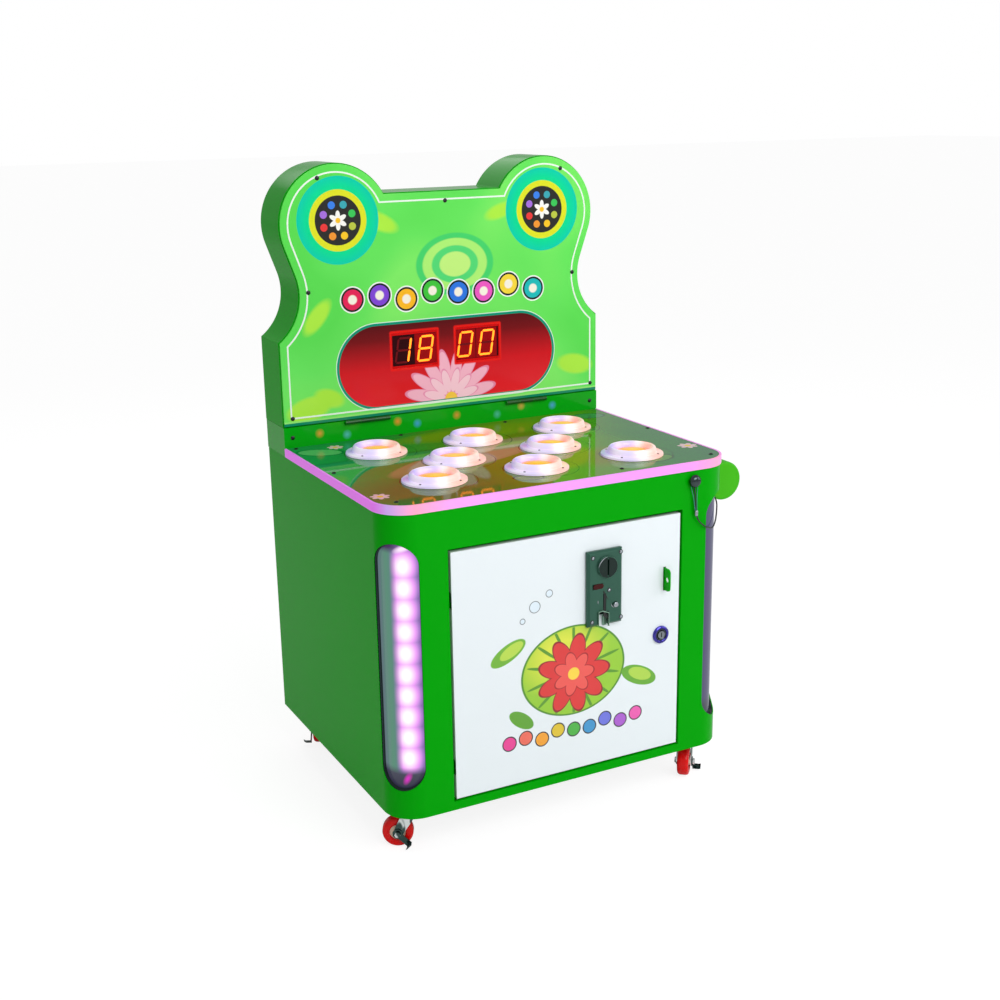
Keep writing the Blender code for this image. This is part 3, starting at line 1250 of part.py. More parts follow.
brake_y = fork_half + GAP
arm_half = BRAKE_W / 2
arm = arc((0, 0), BRAKE_BOSS_R, 36, 324, 7)
arm += [(BRAKE_REACH, -arm_half), (BRAKE_REACH, arm_half)]
brake = extrusion("caster_brake", [arm, arc((0, 0), AXLE_R + AXLE_PLAY, 0, 315, 7)],
                  brake_y, brake_y + BRAKE_T, "Y", STEEL)
pedal = extrusion("tool_pedal", [[
    (BRAKE_REACH - BRAKE_T, brake_y + SINK), (BRAKE_REACH, brake_y + SINK),
    (BRAKE_REACH, brake_y + PEDAL_OUT - PEDAL_CURL),
    (BRAKE_REACH - PEDAL_CURL / 2, brake_y + PEDAL_OUT),
    (BRAKE_REACH - PEDAL_CURL / 2 - BRAKE_T, brake_y + PEDAL_OUT),
    (BRAKE_REACH - BRAKE_T, brake_y + PEDAL_OUT - PEDAL_CURL)]],
    SINK - arm_half, arm_half - SINK, "Z")
add(brake, tool(pedal))
brake_mesh = baked(brake)
brake_mesh.transform(Matrix.Rotation(-BRAKE_ANGLE, 4, "Y"))

for corner, (x, y) in CASTER_SPOTS.items():
    swivel = joint_empty("joint_caster_swivel_" + corner, (x, y, Z_LOW), CASTER_TURNS[corner])
    for name, mesh in (("fork", fork_mesh), ("wheel", wheel_mesh), ("brake", brake_mesh)):
        spot = (0, 0, 0) if name == "fork" else (TRAIL, 0, axle_z)
        copy_of("caster_%s_%s" % (name, corner), mesh, spot, swivel)

# Inside the cabinet: cash box, power supply, control board and speaker
floor_z = Z_LOW + SHEET + GAP
cash_y0 = LIP_BACK + MECH_D / 6
cash_box = tray("cash_box", (PLATE_X - CASHBOX_W / 2, cash_y0, floor_z),
                (PLATE_X + CASHBOX_W / 2, cash_y0 + CASHBOX_D, floor_z + CASHBOX_H), 2, 1,
                CASHBOX_WALL, STEEL)
supply_x = -CAB_W * 0.22
supply_y1 = Y_REAR - CAB_D * 0.12
step_h = SUPPLY_H * 0.4
supply_side = [(supply_y1 - SUPPLY_D, floor_z), (supply_y1, floor_z),
               (supply_y1, floor_z + SUPPLY_H),
               (supply_y1 - SUPPLY_D * 0.86, floor_z + SUPPLY_H),
               (supply_y1 - SUPPLY_D * 0.86, floor_z + step_h),
               (supply_y1 - SUPPLY_D, floor_z + step_h)]
supply = extrusion("power_supply", [supply_side], supply_x - SUPPLY_W / 2,
                   supply_x + SUPPLY_W / 2, "X", STEEL)
vent = box("tool_vent", (supply_x + SUPPLY_W / 2 - SHEET, supply_y1 - SUPPLY_D * 0.75,
                         floor_z + SUPPLY_H * 0.3),
           (supply_x + SUPPLY_W / 2 + CUT_OVER, supply_y1 - SUPPLY_D * 0.72,
            floor_z + SUPPLY_H * 0.8), coll=TOOLS)
cut(supply, row(vent, 5, (0, SUPPLY_D * 0.12, 0)))

board_y = Y_REAR - SHEET - GAP - BOARD_OFF
board_x = CAB_W * 0.14
board_z = world(BODY_H * 0.40)
board = box("control_board", (board_x - BOARD_W / 2, board_y - BOARD_T, board_z - BOARD_H / 2),
            (board_x + BOARD_W / 2, board_y, board_z + BOARD_H / 2), BOARD_GREEN)
for u in (-0.44, 0.44):
    for v in (-0.42, 0.42):
        add(board, cylinder("tool_standoff", BOARD_OFF / 3,
                            (board_x + BOARD_W * u, board_y - SINK, board_z + BOARD_H * v),
                            BOARD_OFF + SINK, "Y", 8, coll=TOOLS))
for u, v, w, h, t in ((-0.25, 0.2, 0.30, 0.26, 0.6), (0.25, 0.25, 0.22, 0.2, 1.0),
                      (0.05, -0.32, 0.7, 0.12, 0.9)):
    chip_x = board_x + BOARD_W * u
    chip_z = board_z + BOARD_H * v
    add(board, box("tool_chip", (chip_x - BOARD_W * w / 2, board_y - BOARD_T - CHIP_T * t,
                                 chip_z - BOARD_H * h / 2),
                   (chip_x + BOARD_W * w / 2, board_y - BOARD_T + SINK,
                    chip_z + BOARD_H * h / 2), coll=TOOLS))

speaker_profile = [
    (0, 0), (SPEAKER_R * 0.42, 0), (SPEAKER_R * 0.42, SPEAKER_T * 0.42),
    (SPEAKER_R * 0.9, SPEAKER_T * 0.85), (SPEAKER_R, SPEAKER_T * 0.85), (SPEAKER_R, SPEAKER_T),
    (SPEAKER_R * 0.84, SPEAKER_T), (SPEAKER_R * 0.3, SPEAKER_T * 0.6), (0, SPEAKER_T * 0.7)]
speaker = turned("speaker", list(reversed(speaker_profile)), 24, DARK, closed=False, axis="Y",
                 location=(-CAB_W * 0.2, Y_REAR - SHEET - GAP - SPEAKER_T,
                           world(BODY_H * 0.45)))

# Tether anchor: a domed bolt with a neck for the wire's loop and a nut inside
anchor_profile = [
    (0, -ANCHOR_NECK - ANCHOR_OUT), (ANCHOR_R * 0.6, -ANCHOR_NECK - ANCHOR_OUT * 0.86),
    (ANCHOR_R, -ANCHOR_NECK - ANCHOR_OUT * 0.25), (ANCHOR_R, -ANCHOR_NECK),
    (ANCHOR_NECK_R, -ANCHOR_NECK), (ANCHOR_NECK_R, -GAP),
    (ANCHOR_STEM_R, -GAP), (ANCHOR_STEM_R, SHEET + GAP), (ANCHOR_STEM_R * 1.9, SHEET + GAP),
    (ANCHOR_STEM_R * 1.9, SHEET + GAP + ANCHOR_STEM / 3),
    (0, SHEET + GAP + ANCHOR_STEM / 3)]
anchor = turned("tether_anchor", list(reversed(anchor_profile)), 14, CHROME, closed=False,
                axis="Y", location=(ANCHOR_X, Y_FRONT, ANCHOR_Z))

# Mallet holder: a bent bracket on the right wall, with a slot for the handle
holder_x0 = X_SIDE + GAP
holder_top = HOLDER_Z - GAP
holder_y0 = MALLET_MID - HOLDER_D / 2
holder_y1 = MALLET_MID + HOLDER_D / 2
tip = holder_x0 + HOLDER_REACH
holder_side = [
    (holder_x0, holder_top), (holder_x0, holder_top - HOLDER_DROP),
    (holder_x0 + HOLDER_T, holder_top - HOLDER_DROP),
    (holder_x0 + HOLDER_T, holder_top - HOLDER_T), (tip, holder_top - HOLDER_T),
    (tip, holder_top)]
holder = extrusion("mallet_holder", [holder_side], holder_y0, holder_y1, "Y", GREEN)
slot_r = HOLDER_SLOT / 2
slot_outline = arc((MALLET_X, MALLET_MID), slot_r, 90, 270, 8)
slot_outline += [(tip + CUT_OVER, MALLET_MID - slot_r), (tip + CUT_OVER, MALLET_MID + slot_r)]
cut(holder, tool(extrusion("tool_holder_slot", [slot_outline], holder_top - HOLDER_DROP / 4,
                           holder_top + CUT_OVER, "Z")))
for v in (-0.3, 0.3):
    cut(holder, cylinder("tool_holder_hole", HOLDER_T * 0.8,
                         (holder_x0 - CUT_OVER, MALLET_MID + HOLDER_D * v,
                          holder_top - HOLDER_DROP * 0.65), 2 * CUT_OVER, "X", 12, coll=TOOLS))

# Mallet: a soft drum head across the top of a tapered handle with a grip
mallet_axis = joint_empty("joint_mallet_lift", (MALLET_X, MALLET_MID, MALLET_Z))
half_l = MALLET_L / 2
head_half = [(0, half_l), (MALLET_R - MALLET_CHAMFER, half_l),
             (MALLET_R - MALLET_CHAMFER * 0.3, half_l - MALLET_CHAMFER * 0.3),
             (MALLET_R, half_l - MALLET_CHAMFER)]
head_profile = head_half + [(radius, -height) for radius, height in reversed(head_half)]
head = turned("mallet_head", head_profile, 24, MALLET_GREEN, parent=mallet_axis, closed=False,
              axis="Y")
head.data.transform(Matrix.Rotation(math.pi / 24, 4, "Z"))
socket_r = HANDLE_R + GAP
cut(head, cylinder("tool_handle_socket", socket_r, (0, 0, -MALLET_R - CUT_OVER),
                   MALLET_R + CUT_OVER + HANDLE_R, "Z", 20, coll=TOOLS, parent=mallet_axis))
handle_top = HANDLE_R - GAP
handle_low = -HANDLE_L
handle_profile = [
    (0, handle_top), (HANDLE_R * 0.9, handle_top), (HANDLE_R, handle_top - HANDLE_R * 0.1),
    (HANDLE_R, -MALLET_R - SHEET), (HANDLE_R * 0.86, handle_low * 0.55),
    (HANDLE_GRIP_R * 0.92, handle_low * 0.60), (HANDLE_GRIP_R, handle_low * 0.66),
    (HANDLE_GRIP_R * 0.94, handle_low * 0.82), (HANDLE_GRIP_R, handle_low * 0.96),
    (HANDLE_GRIP_R * 0.8, handle_low), (0, handle_low)]
handle = turned("mallet_handle", handle_profile, 20, MALLET_GREEN, parent=mallet_axis,
                closed=False)

# Tether: from the anchor's neck, round the lit corner, over the holder to the handle
corner_x = X_SIDE - CORNER_R
corner_y = Y_FRONT + CORNER_R
ROUTE = [(ANCHOR_X, Y_FRONT - ANCHOR_NECK * 0.55, ANCHOR_Z - ANCHOR_NECK_R - TETHER_R * 1.3)]
for right, out, down in HANG_shares:
    ROUTE.append((ANCHOR_X + CORNER_R * right, Y_FRONT - TETHER_R * out,
                  ANCHOR_Z - BODY_H * down))
for angle, reach, down in ROUND_shares:
    ROUTE.append((corner_x + CORNER_R * reach * math.cos(math.radians(angle)),
                  corner_y + CORNER_R * reach * math.sin(math.radians(angle)),
                  ANCHOR_Z - BODY_H * down))
for out, along, lift in OVER_shares:
    ROUTE.append((X_SIDE + MALLET_OUT * out, MALLET_MID + HOLDER_D * along,
                  holder_top + TETHER_R * lift))
for out, along, down in LOOP_shares:
    ROUTE.append((X_SIDE + MALLET_OUT * out, MALLET_MID + HANDLE_L * along,
                  holder_top - HANDLE_L * down))
ROUTE.append((MALLET_X, MALLET_MID, MALLET_Z - HANDLE_L - GAP))


def smooth_path(route, step):
    """Points along a centripetal curve through the route, evenly spaced."""
    points = [Vector(point) for point in route]
    points = [points[0] * 2 - points[1]] + points + [points[-1] * 2 - points[-2]]
    dense = []
    for p0, p1, p2, p3 in zip(points, points[1:], points[2:], points[3:]):
        t0 = 0.0
        t1 = t0 + (p1 - p0).length ** 0.5
        t2 = t1 + (p2 - p1).length ** 0.5
        t3 = t2 + (p3 - p2).length ** 0.5
        for index in range(24):
            t = t1 + (t2 - t1) * index / 24
            a1 = p0 * ((t1 - t) / (t1 - t0)) + p1 * ((t - t0) / (t1 - t0))
            a2 = p1 * ((t2 - t) / (t2 - t1)) + p2 * ((t - t1) / (t2 - t1))
            a3 = p2 * ((t3 - t) / (t3 - t2)) + p3 * ((t - t2) / (t3 - t2))
            b1 = a1 * ((t2 - t) / (t2 - t0)) + a2 * ((t - t0) / (t2 - t0))
            b2 = a2 * ((t3 - t) / (t3 - t1)) + a3 * ((t - t1) / (t3 - t1))
            dense.append(b1 * ((t2 - t) / (t2 - t1)) + b2 * ((t - t1) / (t2 - t1)))
    dense.append(points[-2])
    length = sum((b - a).length for a, b in zip(dense, dense[1:]))
    count = max(8, round(length / step))
    spaced = [dense[0]]
    travelled = 0.0
    for a, b in zip(dense, dense[1:]):
        travelled += (b - a).length
        if travelled >= length * len(spaced) / count - 1e-9 and len(spaced) < count:
            spaced.append(b)
    spaced.append(dense[-1])
    return spaced


curve = bpy.data.curves.new("tether_cord", "CURVE")
curve.dimensions = "3D"
curve.bevel_depth = TETHER_R
curve.bevel_resolution = 2
curve.use_fill_caps = True
spline = curve.splines.new("POLY")
route_points = smooth_path(ROUTE, TETHER_STEP)
spline.points.add(len(route_points) - 1)
for point, spot in zip(spline.points, route_points):
    point.co = (*spot, 1)
tether = bpy.data.objects.new("tether_cord", curve)
bpy.context.scene.collection.objects.link(tether)
place(tether, WIRE)
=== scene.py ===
"""Surface model of a small pounding game cabinet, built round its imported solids.

Pieces are made in the cabinet's own layout: x = 0 on its centre plane, y = 0 at the front edge
of the deck, z = 0 on the floor, in metres. settle() then carries each one into the part's frame.
Colours are written as screen values from 0 to 255.
"""
import math

import bpy
from mathutils import Matrix, Vector


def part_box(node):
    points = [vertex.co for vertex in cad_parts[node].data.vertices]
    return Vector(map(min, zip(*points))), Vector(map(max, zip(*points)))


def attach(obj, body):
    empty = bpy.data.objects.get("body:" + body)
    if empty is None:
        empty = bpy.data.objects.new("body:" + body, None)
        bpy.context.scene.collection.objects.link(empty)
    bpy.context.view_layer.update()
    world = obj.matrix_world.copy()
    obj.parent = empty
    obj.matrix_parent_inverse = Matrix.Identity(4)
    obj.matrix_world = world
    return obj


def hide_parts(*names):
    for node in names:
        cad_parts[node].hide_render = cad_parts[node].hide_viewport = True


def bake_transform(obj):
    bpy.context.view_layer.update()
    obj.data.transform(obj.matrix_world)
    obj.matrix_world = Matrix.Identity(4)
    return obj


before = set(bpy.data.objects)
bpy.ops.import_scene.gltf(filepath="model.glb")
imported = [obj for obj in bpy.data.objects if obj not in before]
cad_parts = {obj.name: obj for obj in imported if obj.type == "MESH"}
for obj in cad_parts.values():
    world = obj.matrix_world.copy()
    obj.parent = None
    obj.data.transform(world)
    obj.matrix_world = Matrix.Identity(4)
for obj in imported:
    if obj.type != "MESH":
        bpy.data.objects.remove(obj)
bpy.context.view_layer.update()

rim_low, rim_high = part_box("deck_light_rim")
SHIFT = Vector(((rim_low.x + rim_high.x) / 2, rim_low.y, 0))

# Cabinet: folded sheet, its door frame and its corner windows
HALF, FRONT, CORNER, SHEET = 0.309, 0.002, 0.052, 0.0015
FLOOR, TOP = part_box("cabinet_shell")[0].z, 0.562
SKIN_REAR, FLANGE = 0.5232, 0.020
WINDOW_W, WINDOW_LOW, WINDOW_HIGH = 0.072, 0.11674, 0.51772
DOOR_HALF, DOOR_LOW, DOOR_HIGH, DOOR_GAP, LIP_BACK = 0.2091, 0.0862, 0.4968, 0.0019, 0.0215
LED_LOW, LED_PITCH, LED_LAST, LED_REACH = 0.1699, 0.03453, 9.0, 0.0445
SIDES = {"left": -1, "right": 1}

# Deck and pads
DECK_HALF, DECK_D, DECK_R, DECK_LOW, DECK_TOP = 0.311, 0.4325, 0.054, 0.5623, 0.5768
PAD_SPOTS = [(0.622 * x, 0.4325 * y) for x, y in (
    (-0.2987, 0.7542), (-0.0111, 0.7450), (0.2781, 0.7531), (-0.1551, 0.4872),
    (0.1344, 0.4855), (-0.2873, 0.2590), (-0.0092, 0.2250), (0.2786, 0.2217))]

# Header with its two displays
HEADER_W, HEADER_H, HEADER_Z, HEADER_REAR, FACE_BACK = 0.620, 0.435, 0.6123, 0.525, 0.4355
DISPLAYS, DISPLAY_Z = {"left": -0.0624, "right": 0.0610}, 0.7249

EDGE = 0.0004


# Modelling helpers

def linked(name, data):
    obj = bpy.data.objects.new(name, data)
    bpy.context.scene.collection.objects.link(obj)
    return obj


def fresh(name):
    obj = bpy.context.object
    obj.name = obj.data.name = name
    return obj


def only(obj):
    """The one selected and active object."""
    bpy.ops.object.select_all(action="DESELECT")
    obj.select_set(True)
    bpy.context.view_layer.objects.active = obj
    return obj


def drop(*objects):
    for obj in objects:
        bpy.data.objects.remove(obj, do_unlink=True)


def apply_place(obj, place=None):
    """Set an object's matrix, then move its mesh there and leave the object at the origin."""
    if place is not None:
        obj.matrix_world = place
    only(obj)
    bpy.ops.object.transform_apply(location=True, rotation=True, scale=True)
    return obj


def block(name, low, high):
    low, high = Vector(low), Vector(high)
    bpy.ops.object.select_all(action="DESELECT")
    bpy.ops.mesh.primitive_cube_add(size=1, location=(low + high) / 2, scale=high - low)
    return apply_place(fresh(name))


TURNS = {"X": (0, math.radians(90), 0), "Y": (math.radians(-90), 0, 0), "Z": (0, 0, 0)}


def rod(name, radius, start, length, axis, steps):
    """Round bar from a point along +X, +Y or +Z."""
    bpy.ops.object.select_all(action="DESELECT")
    bpy.ops.mesh.primitive_cone_add(vertices=steps, radius1=radius, radius2=radius,
                                    depth=length, location=(0, 0, length / 2))
    obj = apply_place(fresh(name))
    obj.rotation_euler = TURNS[axis]
    obj.location = start
    return apply_place(obj)


def lathe(name, profile, steps, closed=False, axis="Z", at=(0, 0, 0)):
    """A profile of (radius, height) points spun round an axis through a point."""
    mesh = bpy.data.meshes.new(name)
    ends = [(i, i + 1) for i in range(len(profile) - 1)]
    if closed:
        ends.append((len(profile) - 1, 0))
    mesh.from_pydata([(r, 0, z) for r, z in profile], ends, [])
    obj = only(linked(name, mesh))
    bpy.ops.object.mode_set(mode="EDIT")
    bpy.ops.mesh.select_all(action="SELECT")
    bpy.ops.mesh.spin(steps=steps, angle=math.tau, center=(0, 0, 0), axis=(0, 0, 1))
    bpy.ops.mesh.select_all(action="SELECT")
    bpy.ops.mesh.remove_doubles(threshold=0.000002)
    bpy.ops.mesh.normals_make_consistent(inside=False)
    bpy.ops.object.mode_set(mode="OBJECT")
    obj.rotation_euler = TURNS[axis]
    obj.location = at
    return apply_place(obj)


def front_lathe(name, profile, steps, at, closed=True, angle=40):
    """A turned piece whose height points out of the front."""
    place = Matrix.Translation(at) @ Matrix.Rotation(math.pi, 4, "Z")
    return smooth(apply_place(lathe(name, profile, steps, closed, "Y"), place), angle)


def merged(obj, near, angle, outward):
    """Join close points and the facets that lie in one plane."""
    only(obj)
    bpy.ops.object.mode_set(mode="EDIT")
    bpy.ops.mesh.select_all(action="SELECT")
    bpy.ops.mesh.remove_doubles(threshold=near)
    bpy.ops.mesh.dissolve_limited(angle_limit=math.radians(angle))
    if outward:
        bpy.ops.mesh.normals_make_consistent(inside=False)
    bpy.ops.object.mode_set(mode="OBJECT")
    return obj


def from_curve(name, kind, loops, cyclic, **settings):
    """A mesh from straight-sided curves."""
    curve = bpy.data.curves.new(name, "CURVE")
    curve.dimensions = kind
    for key, value in settings.items():
        setattr(curve, key, value)
    for loop in loops:
        spline = curve.splines.new("POLY")
        spline.points.add(len(loop) - 1)
        for point, spot_at in zip(spline.points, loop):
            point.co = (*spot_at, *(0, 1)[len(spot_at) - 2:])
        spline.use_cyclic_u = cyclic
    only(linked(name, curve))
    bpy.ops.object.convert(target="MESH")
    return fresh(name)


def flat(name, loops, low, high, axis="Z"):
    """A flat outline with holes, given thickness between two values along an axis.

    Loops hold (x, y) for axis Z, (x, z) for Y and (y, z) for X.
    """
    obj = from_curve(name, "2D", loops, True, fill_mode="BOTH", extrude=(high - low) / 2)
    merged(obj, 0.000005, 0.5, True)
    middle = (low + high) / 2
    if axis == "Y":
        return apply_place(obj, Matrix.Translation((0, middle, 0))
                           @ Matrix.Rotation(math.radians(90), 4, "X"))
    if axis == "X":
        return apply_place(obj, Matrix.Translation((middle, 0, 0)) @ Matrix(
            ((0, 0, 1, 0), (1, 0, 0, 0), (0, 1, 0, 0), (0, 0, 0, 1))))
    return apply_place(obj, Matrix.Translation((0, 0, middle)))


def pressed(name, loops, low, high, width, *edges):
    """A flat piece that faces the front, with soft edges."""
    return soften(flat(name, loops, low, high, "Y"), width, *edges)


def tube(name, points, radius, sides):
    """A round wire along points."""
    return smooth(from_curve(name, "3D", [points], False, bevel_depth=radius,
                             bevel_resolution=sides, use_fill_caps=True), 60)


def arc(centre, radius, start, end, steps):
    """Points of an arc with both ends, angles in degrees."""
    turn = [math.radians(start + (end - start) * i / steps) for i in range(steps + 1)]
    return [(centre[0] + radius * math.cos(a), centre[1] + radius * math.sin(a)) for a in turn]


def ring(centre, radius, steps=48):
    return arc(centre, radius, 0, 360 - 360 / steps, steps - 1)


def rounded(x0, z0, x1, z1, radius, steps):
    """Rectangle with round corners, anticlockwise."""
    corners = ((x1 - radius, z1 - radius), (x0 + radius, z1 - radius),
               (x0 + radius, z0 + radius), (x1 - radius, z0 + radius))
    return [point for index, centre in enumerate(corners)
            for point in arc(centre, radius, 90 * index, 90 * index + 90, steps)]


def rectangle(x, z, half_x, half_z):
    return [(x - half_x, z - half_z), (x + half_x, z - half_z), (x + half_x, z + half_z),
            (x - half_x, z + half_z)]


def band(outer, inner):
    """One loop that goes along an outline and back along another."""
    return outer + list(reversed(inner))


def finish(obj, kind, **settings):
    """Add one modifier and apply it."""
    only(obj)
    step = obj.modifiers.new(kind.lower(), kind)
    for key, value in settings.items():
        setattr(step, key, value)
    bpy.ops.object.modifier_apply(modifier=step.name)
    return obj


def cut(obj, *others, operation="DIFFERENCE"):
    for other in others:
        finish(obj, "BOOLEAN", operation=operation, solver="EXACT", object=other)
        drop(other)
    return obj


def smooth(obj, angle=35):
    only(obj)
    bpy.ops.object.shade_smooth_by_angle(angle=math.radians(angle))
    return obj


def soften(obj, width, segments=2, angle=40):
    """Narrow round edges, as pressed sheet and moulded plastic have."""
    finish(obj, "BEVEL", width=width, segments=segments, limit_method="ANGLE",
           angle_limit=math.radians(angle), harden_normals=False)
    return finish(smooth(obj), "WEIGHTED_NORMAL", weight=100, keep_sharp=True)


def joined(name, *parts):
    """Several shapes as one piece."""
    only(parts[0])
    for part in parts:
        part.select_set(True)
    bpy.ops.object.join()
    return fresh(name)


def again(obj, name, move=(0, 0, 0), turn=Matrix.Identity(4)):
    """A copy with its own mesh, turned about the origin and then moved."""
    twin = linked(name, obj.data.copy())
    twin.data.name = name
    return apply_place(twin, Matrix.Translation(move) @ turn)


def refined(node, name, width=EDGE, segments=2, angle=40):
    """A solid's own shape with its facets merged, its edges rounded and its curves smooth."""
    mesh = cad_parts[node].data.copy()
    mesh.name = name
    obj = apply_place(linked(name, mesh), Matrix.Translation(-SHIFT))
    merged(obj, 0.00002, 1, False)
    return soften(obj, width, segments, angle) if width else smooth(obj)


def clad(obj, mat):
    """Into the part's frame, with a material."""
    apply_place(obj, Matrix.Translation(SHIFT))
    obj.data.materials.clear()
    obj.data.materials.append(mat)
    return obj


def settle(obj, body, mat, slot, *nodes):
    """A finished piece that rides on one body and may stand for solids."""
    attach(clad(obj, mat), body)
    if nodes:
        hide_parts(*nodes)


def dressed(node, name, body, mat, slot, *edges):
    """A finished piece with its solid's own shape."""
    settle(refined(node, name, *edges), body, mat, slot, node)


# Shader helpers

class Wire:
    """A socket's output that is reckoned with like a number."""

    def __init__(self, socket):
        self.socket, self.tree = socket, socket.id_data

    def to(self, operation, other=0.0, **more):
        return Wire(wired(self.tree, "ShaderNodeMath", operation=operation, in0=self, in1=other,
                          **more).outputs[0])

    def __add__(self, other):
        return self.to("ADD", other)

    def __sub__(self, other):
        return self.to("SUBTRACT", other)

    def __mul__(self, other):
        return self.to("MULTIPLY", other)

    def __truediv__(self, other):
        return self.to("DIVIDE", other)


def tint(r, g, b):
    """Linear light of a screen colour."""
    values = [(c / 255 / 12.92) if c <= 10 else ((c / 255 + 0.055) / 1.055) ** 2.4
              for c in (r, g, b)]
    return (*values, 1)


def feed(socket, value):
    """Link a wire to a socket, or set the socket's own value; three whole numbers are a tint."""
    if isinstance(value, Wire):
        value.tree.links.new(value.socket, socket)
    else:
        socket.default_value = tint(*value) if socket.type == "RGBA" else value


def wired(tree, kind, **values):
    """A node with its settings, and with its inputs as in0, in1 or by their names."""
    node = tree.nodes.new(kind)
    for key, value in values.items():
        if key.startswith("in"):
            feed(node.inputs[int(key[2:])], value)
        elif key[0].isupper():
            feed(node.inputs[key.replace("_", " ")], value)
        else:
            setattr(node, key, value)
    return node


def vector(operation, a, b=(0, 0, 0)):
    return Wire(wired(a.tree, "ShaderNodeVectorMath", operation=operation, in0=a,
                      in1=b).outputs[0])


def length(x, y):
    """Length of a vector with two parts."""
    whole = wired(x.tree, "ShaderNodeCombineXYZ", X=x, Y=y)
    return Wire(wired(x.tree, "ShaderNodeVectorMath", operation="LENGTH",
                      in0=Wire(whole.outputs[0])).outputs["Value"])


def split(place):
    return [Wire(out) for out in wired(place.tree, "ShaderNodeSeparateXYZ",
                                       Vector=place).outputs]


def turned(place, angle, axis):
    return Wire(wired(place.tree, "ShaderNodeVectorRotate", Vector=place, Axis=axis,
                      Angle=angle).outputs[0])


def noise(place, scale, detail, **more):
    return Wire(wired(place.tree, "ShaderNodeTexNoise", Vector=place, Scale=scale,
                      Detail=detail, **more).outputs[0])


def object_place(tree):
    return Wire(tree.nodes.new("ShaderNodeTexCoord").outputs["Object"])


def ranged(value, low, high, first=0.0, last=1.0):
    """Value carried from one range to another, held at its ends."""
    return Wire(wired(value.tree, "ShaderNodeMapRange", clamp=True, in0=value, in1=low, in2=high,
                      in3=first, in4=last).outputs[0])


def within(distance, limit, soft=EDGE):
    """Mask of what lies nearer than a limit."""
    return ranged(distance, limit, limit + soft, 1.0, 0.0)


def mixed(factor, a, b):
    return Wire(wired(factor.tree, "ShaderNodeMix", data_type="RGBA", in0=factor, in6=a,
                      in7=b).outputs[2])


def ramp(value, *stops):
    """Colours along a value; each stop is (place, red, green, blue)."""
    node = value.tree.nodes.new("ShaderNodeValToRGB")
    bar = node.color_ramp
    while len(bar.elements) < len(stops):
        bar.elements.new(0.5)
    for element, (place, *colour) in zip(bar.elements, stops):
        element.position, element.color = place, tint(*colour)
    feed(node.inputs[0], value)
    return Wire(node.outputs["Color"])


def group(name, build, outputs, **inputs):
    """A shader group; build gets a wire for each input and gives one for each output."""
    tree = bpy.data.node_groups.new(name, "ShaderNodeTree")
    kinds = {float: "Float", tuple: "Vector"}
    for label, value in inputs.items():
        kind = "Color" if label == "Color" else kinds[type(value)]
        socket = tree.interface.new_socket(name=label, in_out="INPUT",
                                           socket_type="NodeSocket" + kind)
        socket.default_value = value
    for label in outputs:
        kind = "Color" if label == "Color" else "Float"
        tree.interface.new_socket(name=label, in_out="OUTPUT", socket_type="NodeSocket" + kind)
    start, end = tree.nodes.new("NodeGroupInput"), tree.nodes.new("NodeGroupOutput")
    for label, wire in zip(outputs, build(*[Wire(start.outputs[key]) for key in inputs])):
        tree.links.new(wire.socket, end.inputs[label])
    return tree


def effect(shared, place, **values):
    """A use of a shared group at a place, with its outputs by name."""
    node = wired(place.tree, "ShaderNodeGroup", node_tree=shared, Vector=place, **values)
    return {out.name: Wire(out) for out in node.outputs}


# Shared effects

def coated(colour, grain, drift, rough, spread):
    """Slow colour drift, uneven gloss and fine height of a coated or moulded surface."""
    where = object_place(colour.tree)
    swing = (noise(where, 3.1, 3.0) - 0.5) * drift + 1.0
    gloss = (noise(where, 14.0, 6.0, Distortion=0.6) - 0.45) * spread
    bright = wired(colour.tree, "ShaderNodeHueSaturation", Color=colour, Value=swing)
    return (Wire(bright.outputs[0]), rough.to("ADD", gloss, use_clamp=True),
            noise(where, grain, 4.0))


def disc(place, centre, stretch, radius, edge, axis, angle):
    """Mask of a disc or an oval, measured in the plane that its stretch keeps."""
    away = vector("MULTIPLY", turned(vector("SUBTRACT", place, centre), angle, axis), stretch)
    far = Wire(wired(place.tree, "ShaderNodeVectorMath", operation="LENGTH",
                     in0=away).outputs["Value"])
    return ranged(far, radius - edge, radius + edge, 1.0, 0.0), far


def rounded_bar(place, centre, half, corner):
    """Distance outside a rounded rectangle in the XZ plane; negative inside."""
    away = vector("ABSOLUTE", vector("SUBTRACT", place, centre))
    u, _, v = split(vector("SUBTRACT", away, half))
    u, v = u + corner, v + corner
    inner = u.to("MAXIMUM", v).to("MINIMUM", 0.0)
    return (length(u.to("MAXIMUM", 0.0), v.to("MAXIMUM", 0.0)) + inner - corner,)


def dot_ring(place, centre, count, ring_r, dot, long):
    """Mask and turn of equal dots set round a centre in the XZ plane."""
    x, _, z = split(vector("SUBTRACT", place, centre))
    cell = (z.to("ARCTAN2", x) / math.tau + 0.5) * count
    folded = (cell.to("FRACT") - 0.5) * math.tau / count
    far = length(x, z)
    reach = length((far * folded.to("COSINE") - ring_r) / long, far * folded.to("SINE"))
    return ranged(reach, dot, dot + EDGE, 1.0, 0.0), cell.to("FLOOR") / count


def dot_row(place, first, pitch, count, sway):
    """Distance from the nearest of equal dots set along X, and its share of the row."""
    x, _, z = split(vector("SUBTRACT", place, first))
    last = count - 1.0
    index = (x / pitch + 0.5).to("FLOOR").to("MINIMUM", last).to("MAXIMUM", 0.0)
    return length(x - index * pitch, z - (index * 2.4).to("SINE") * sway), index / last


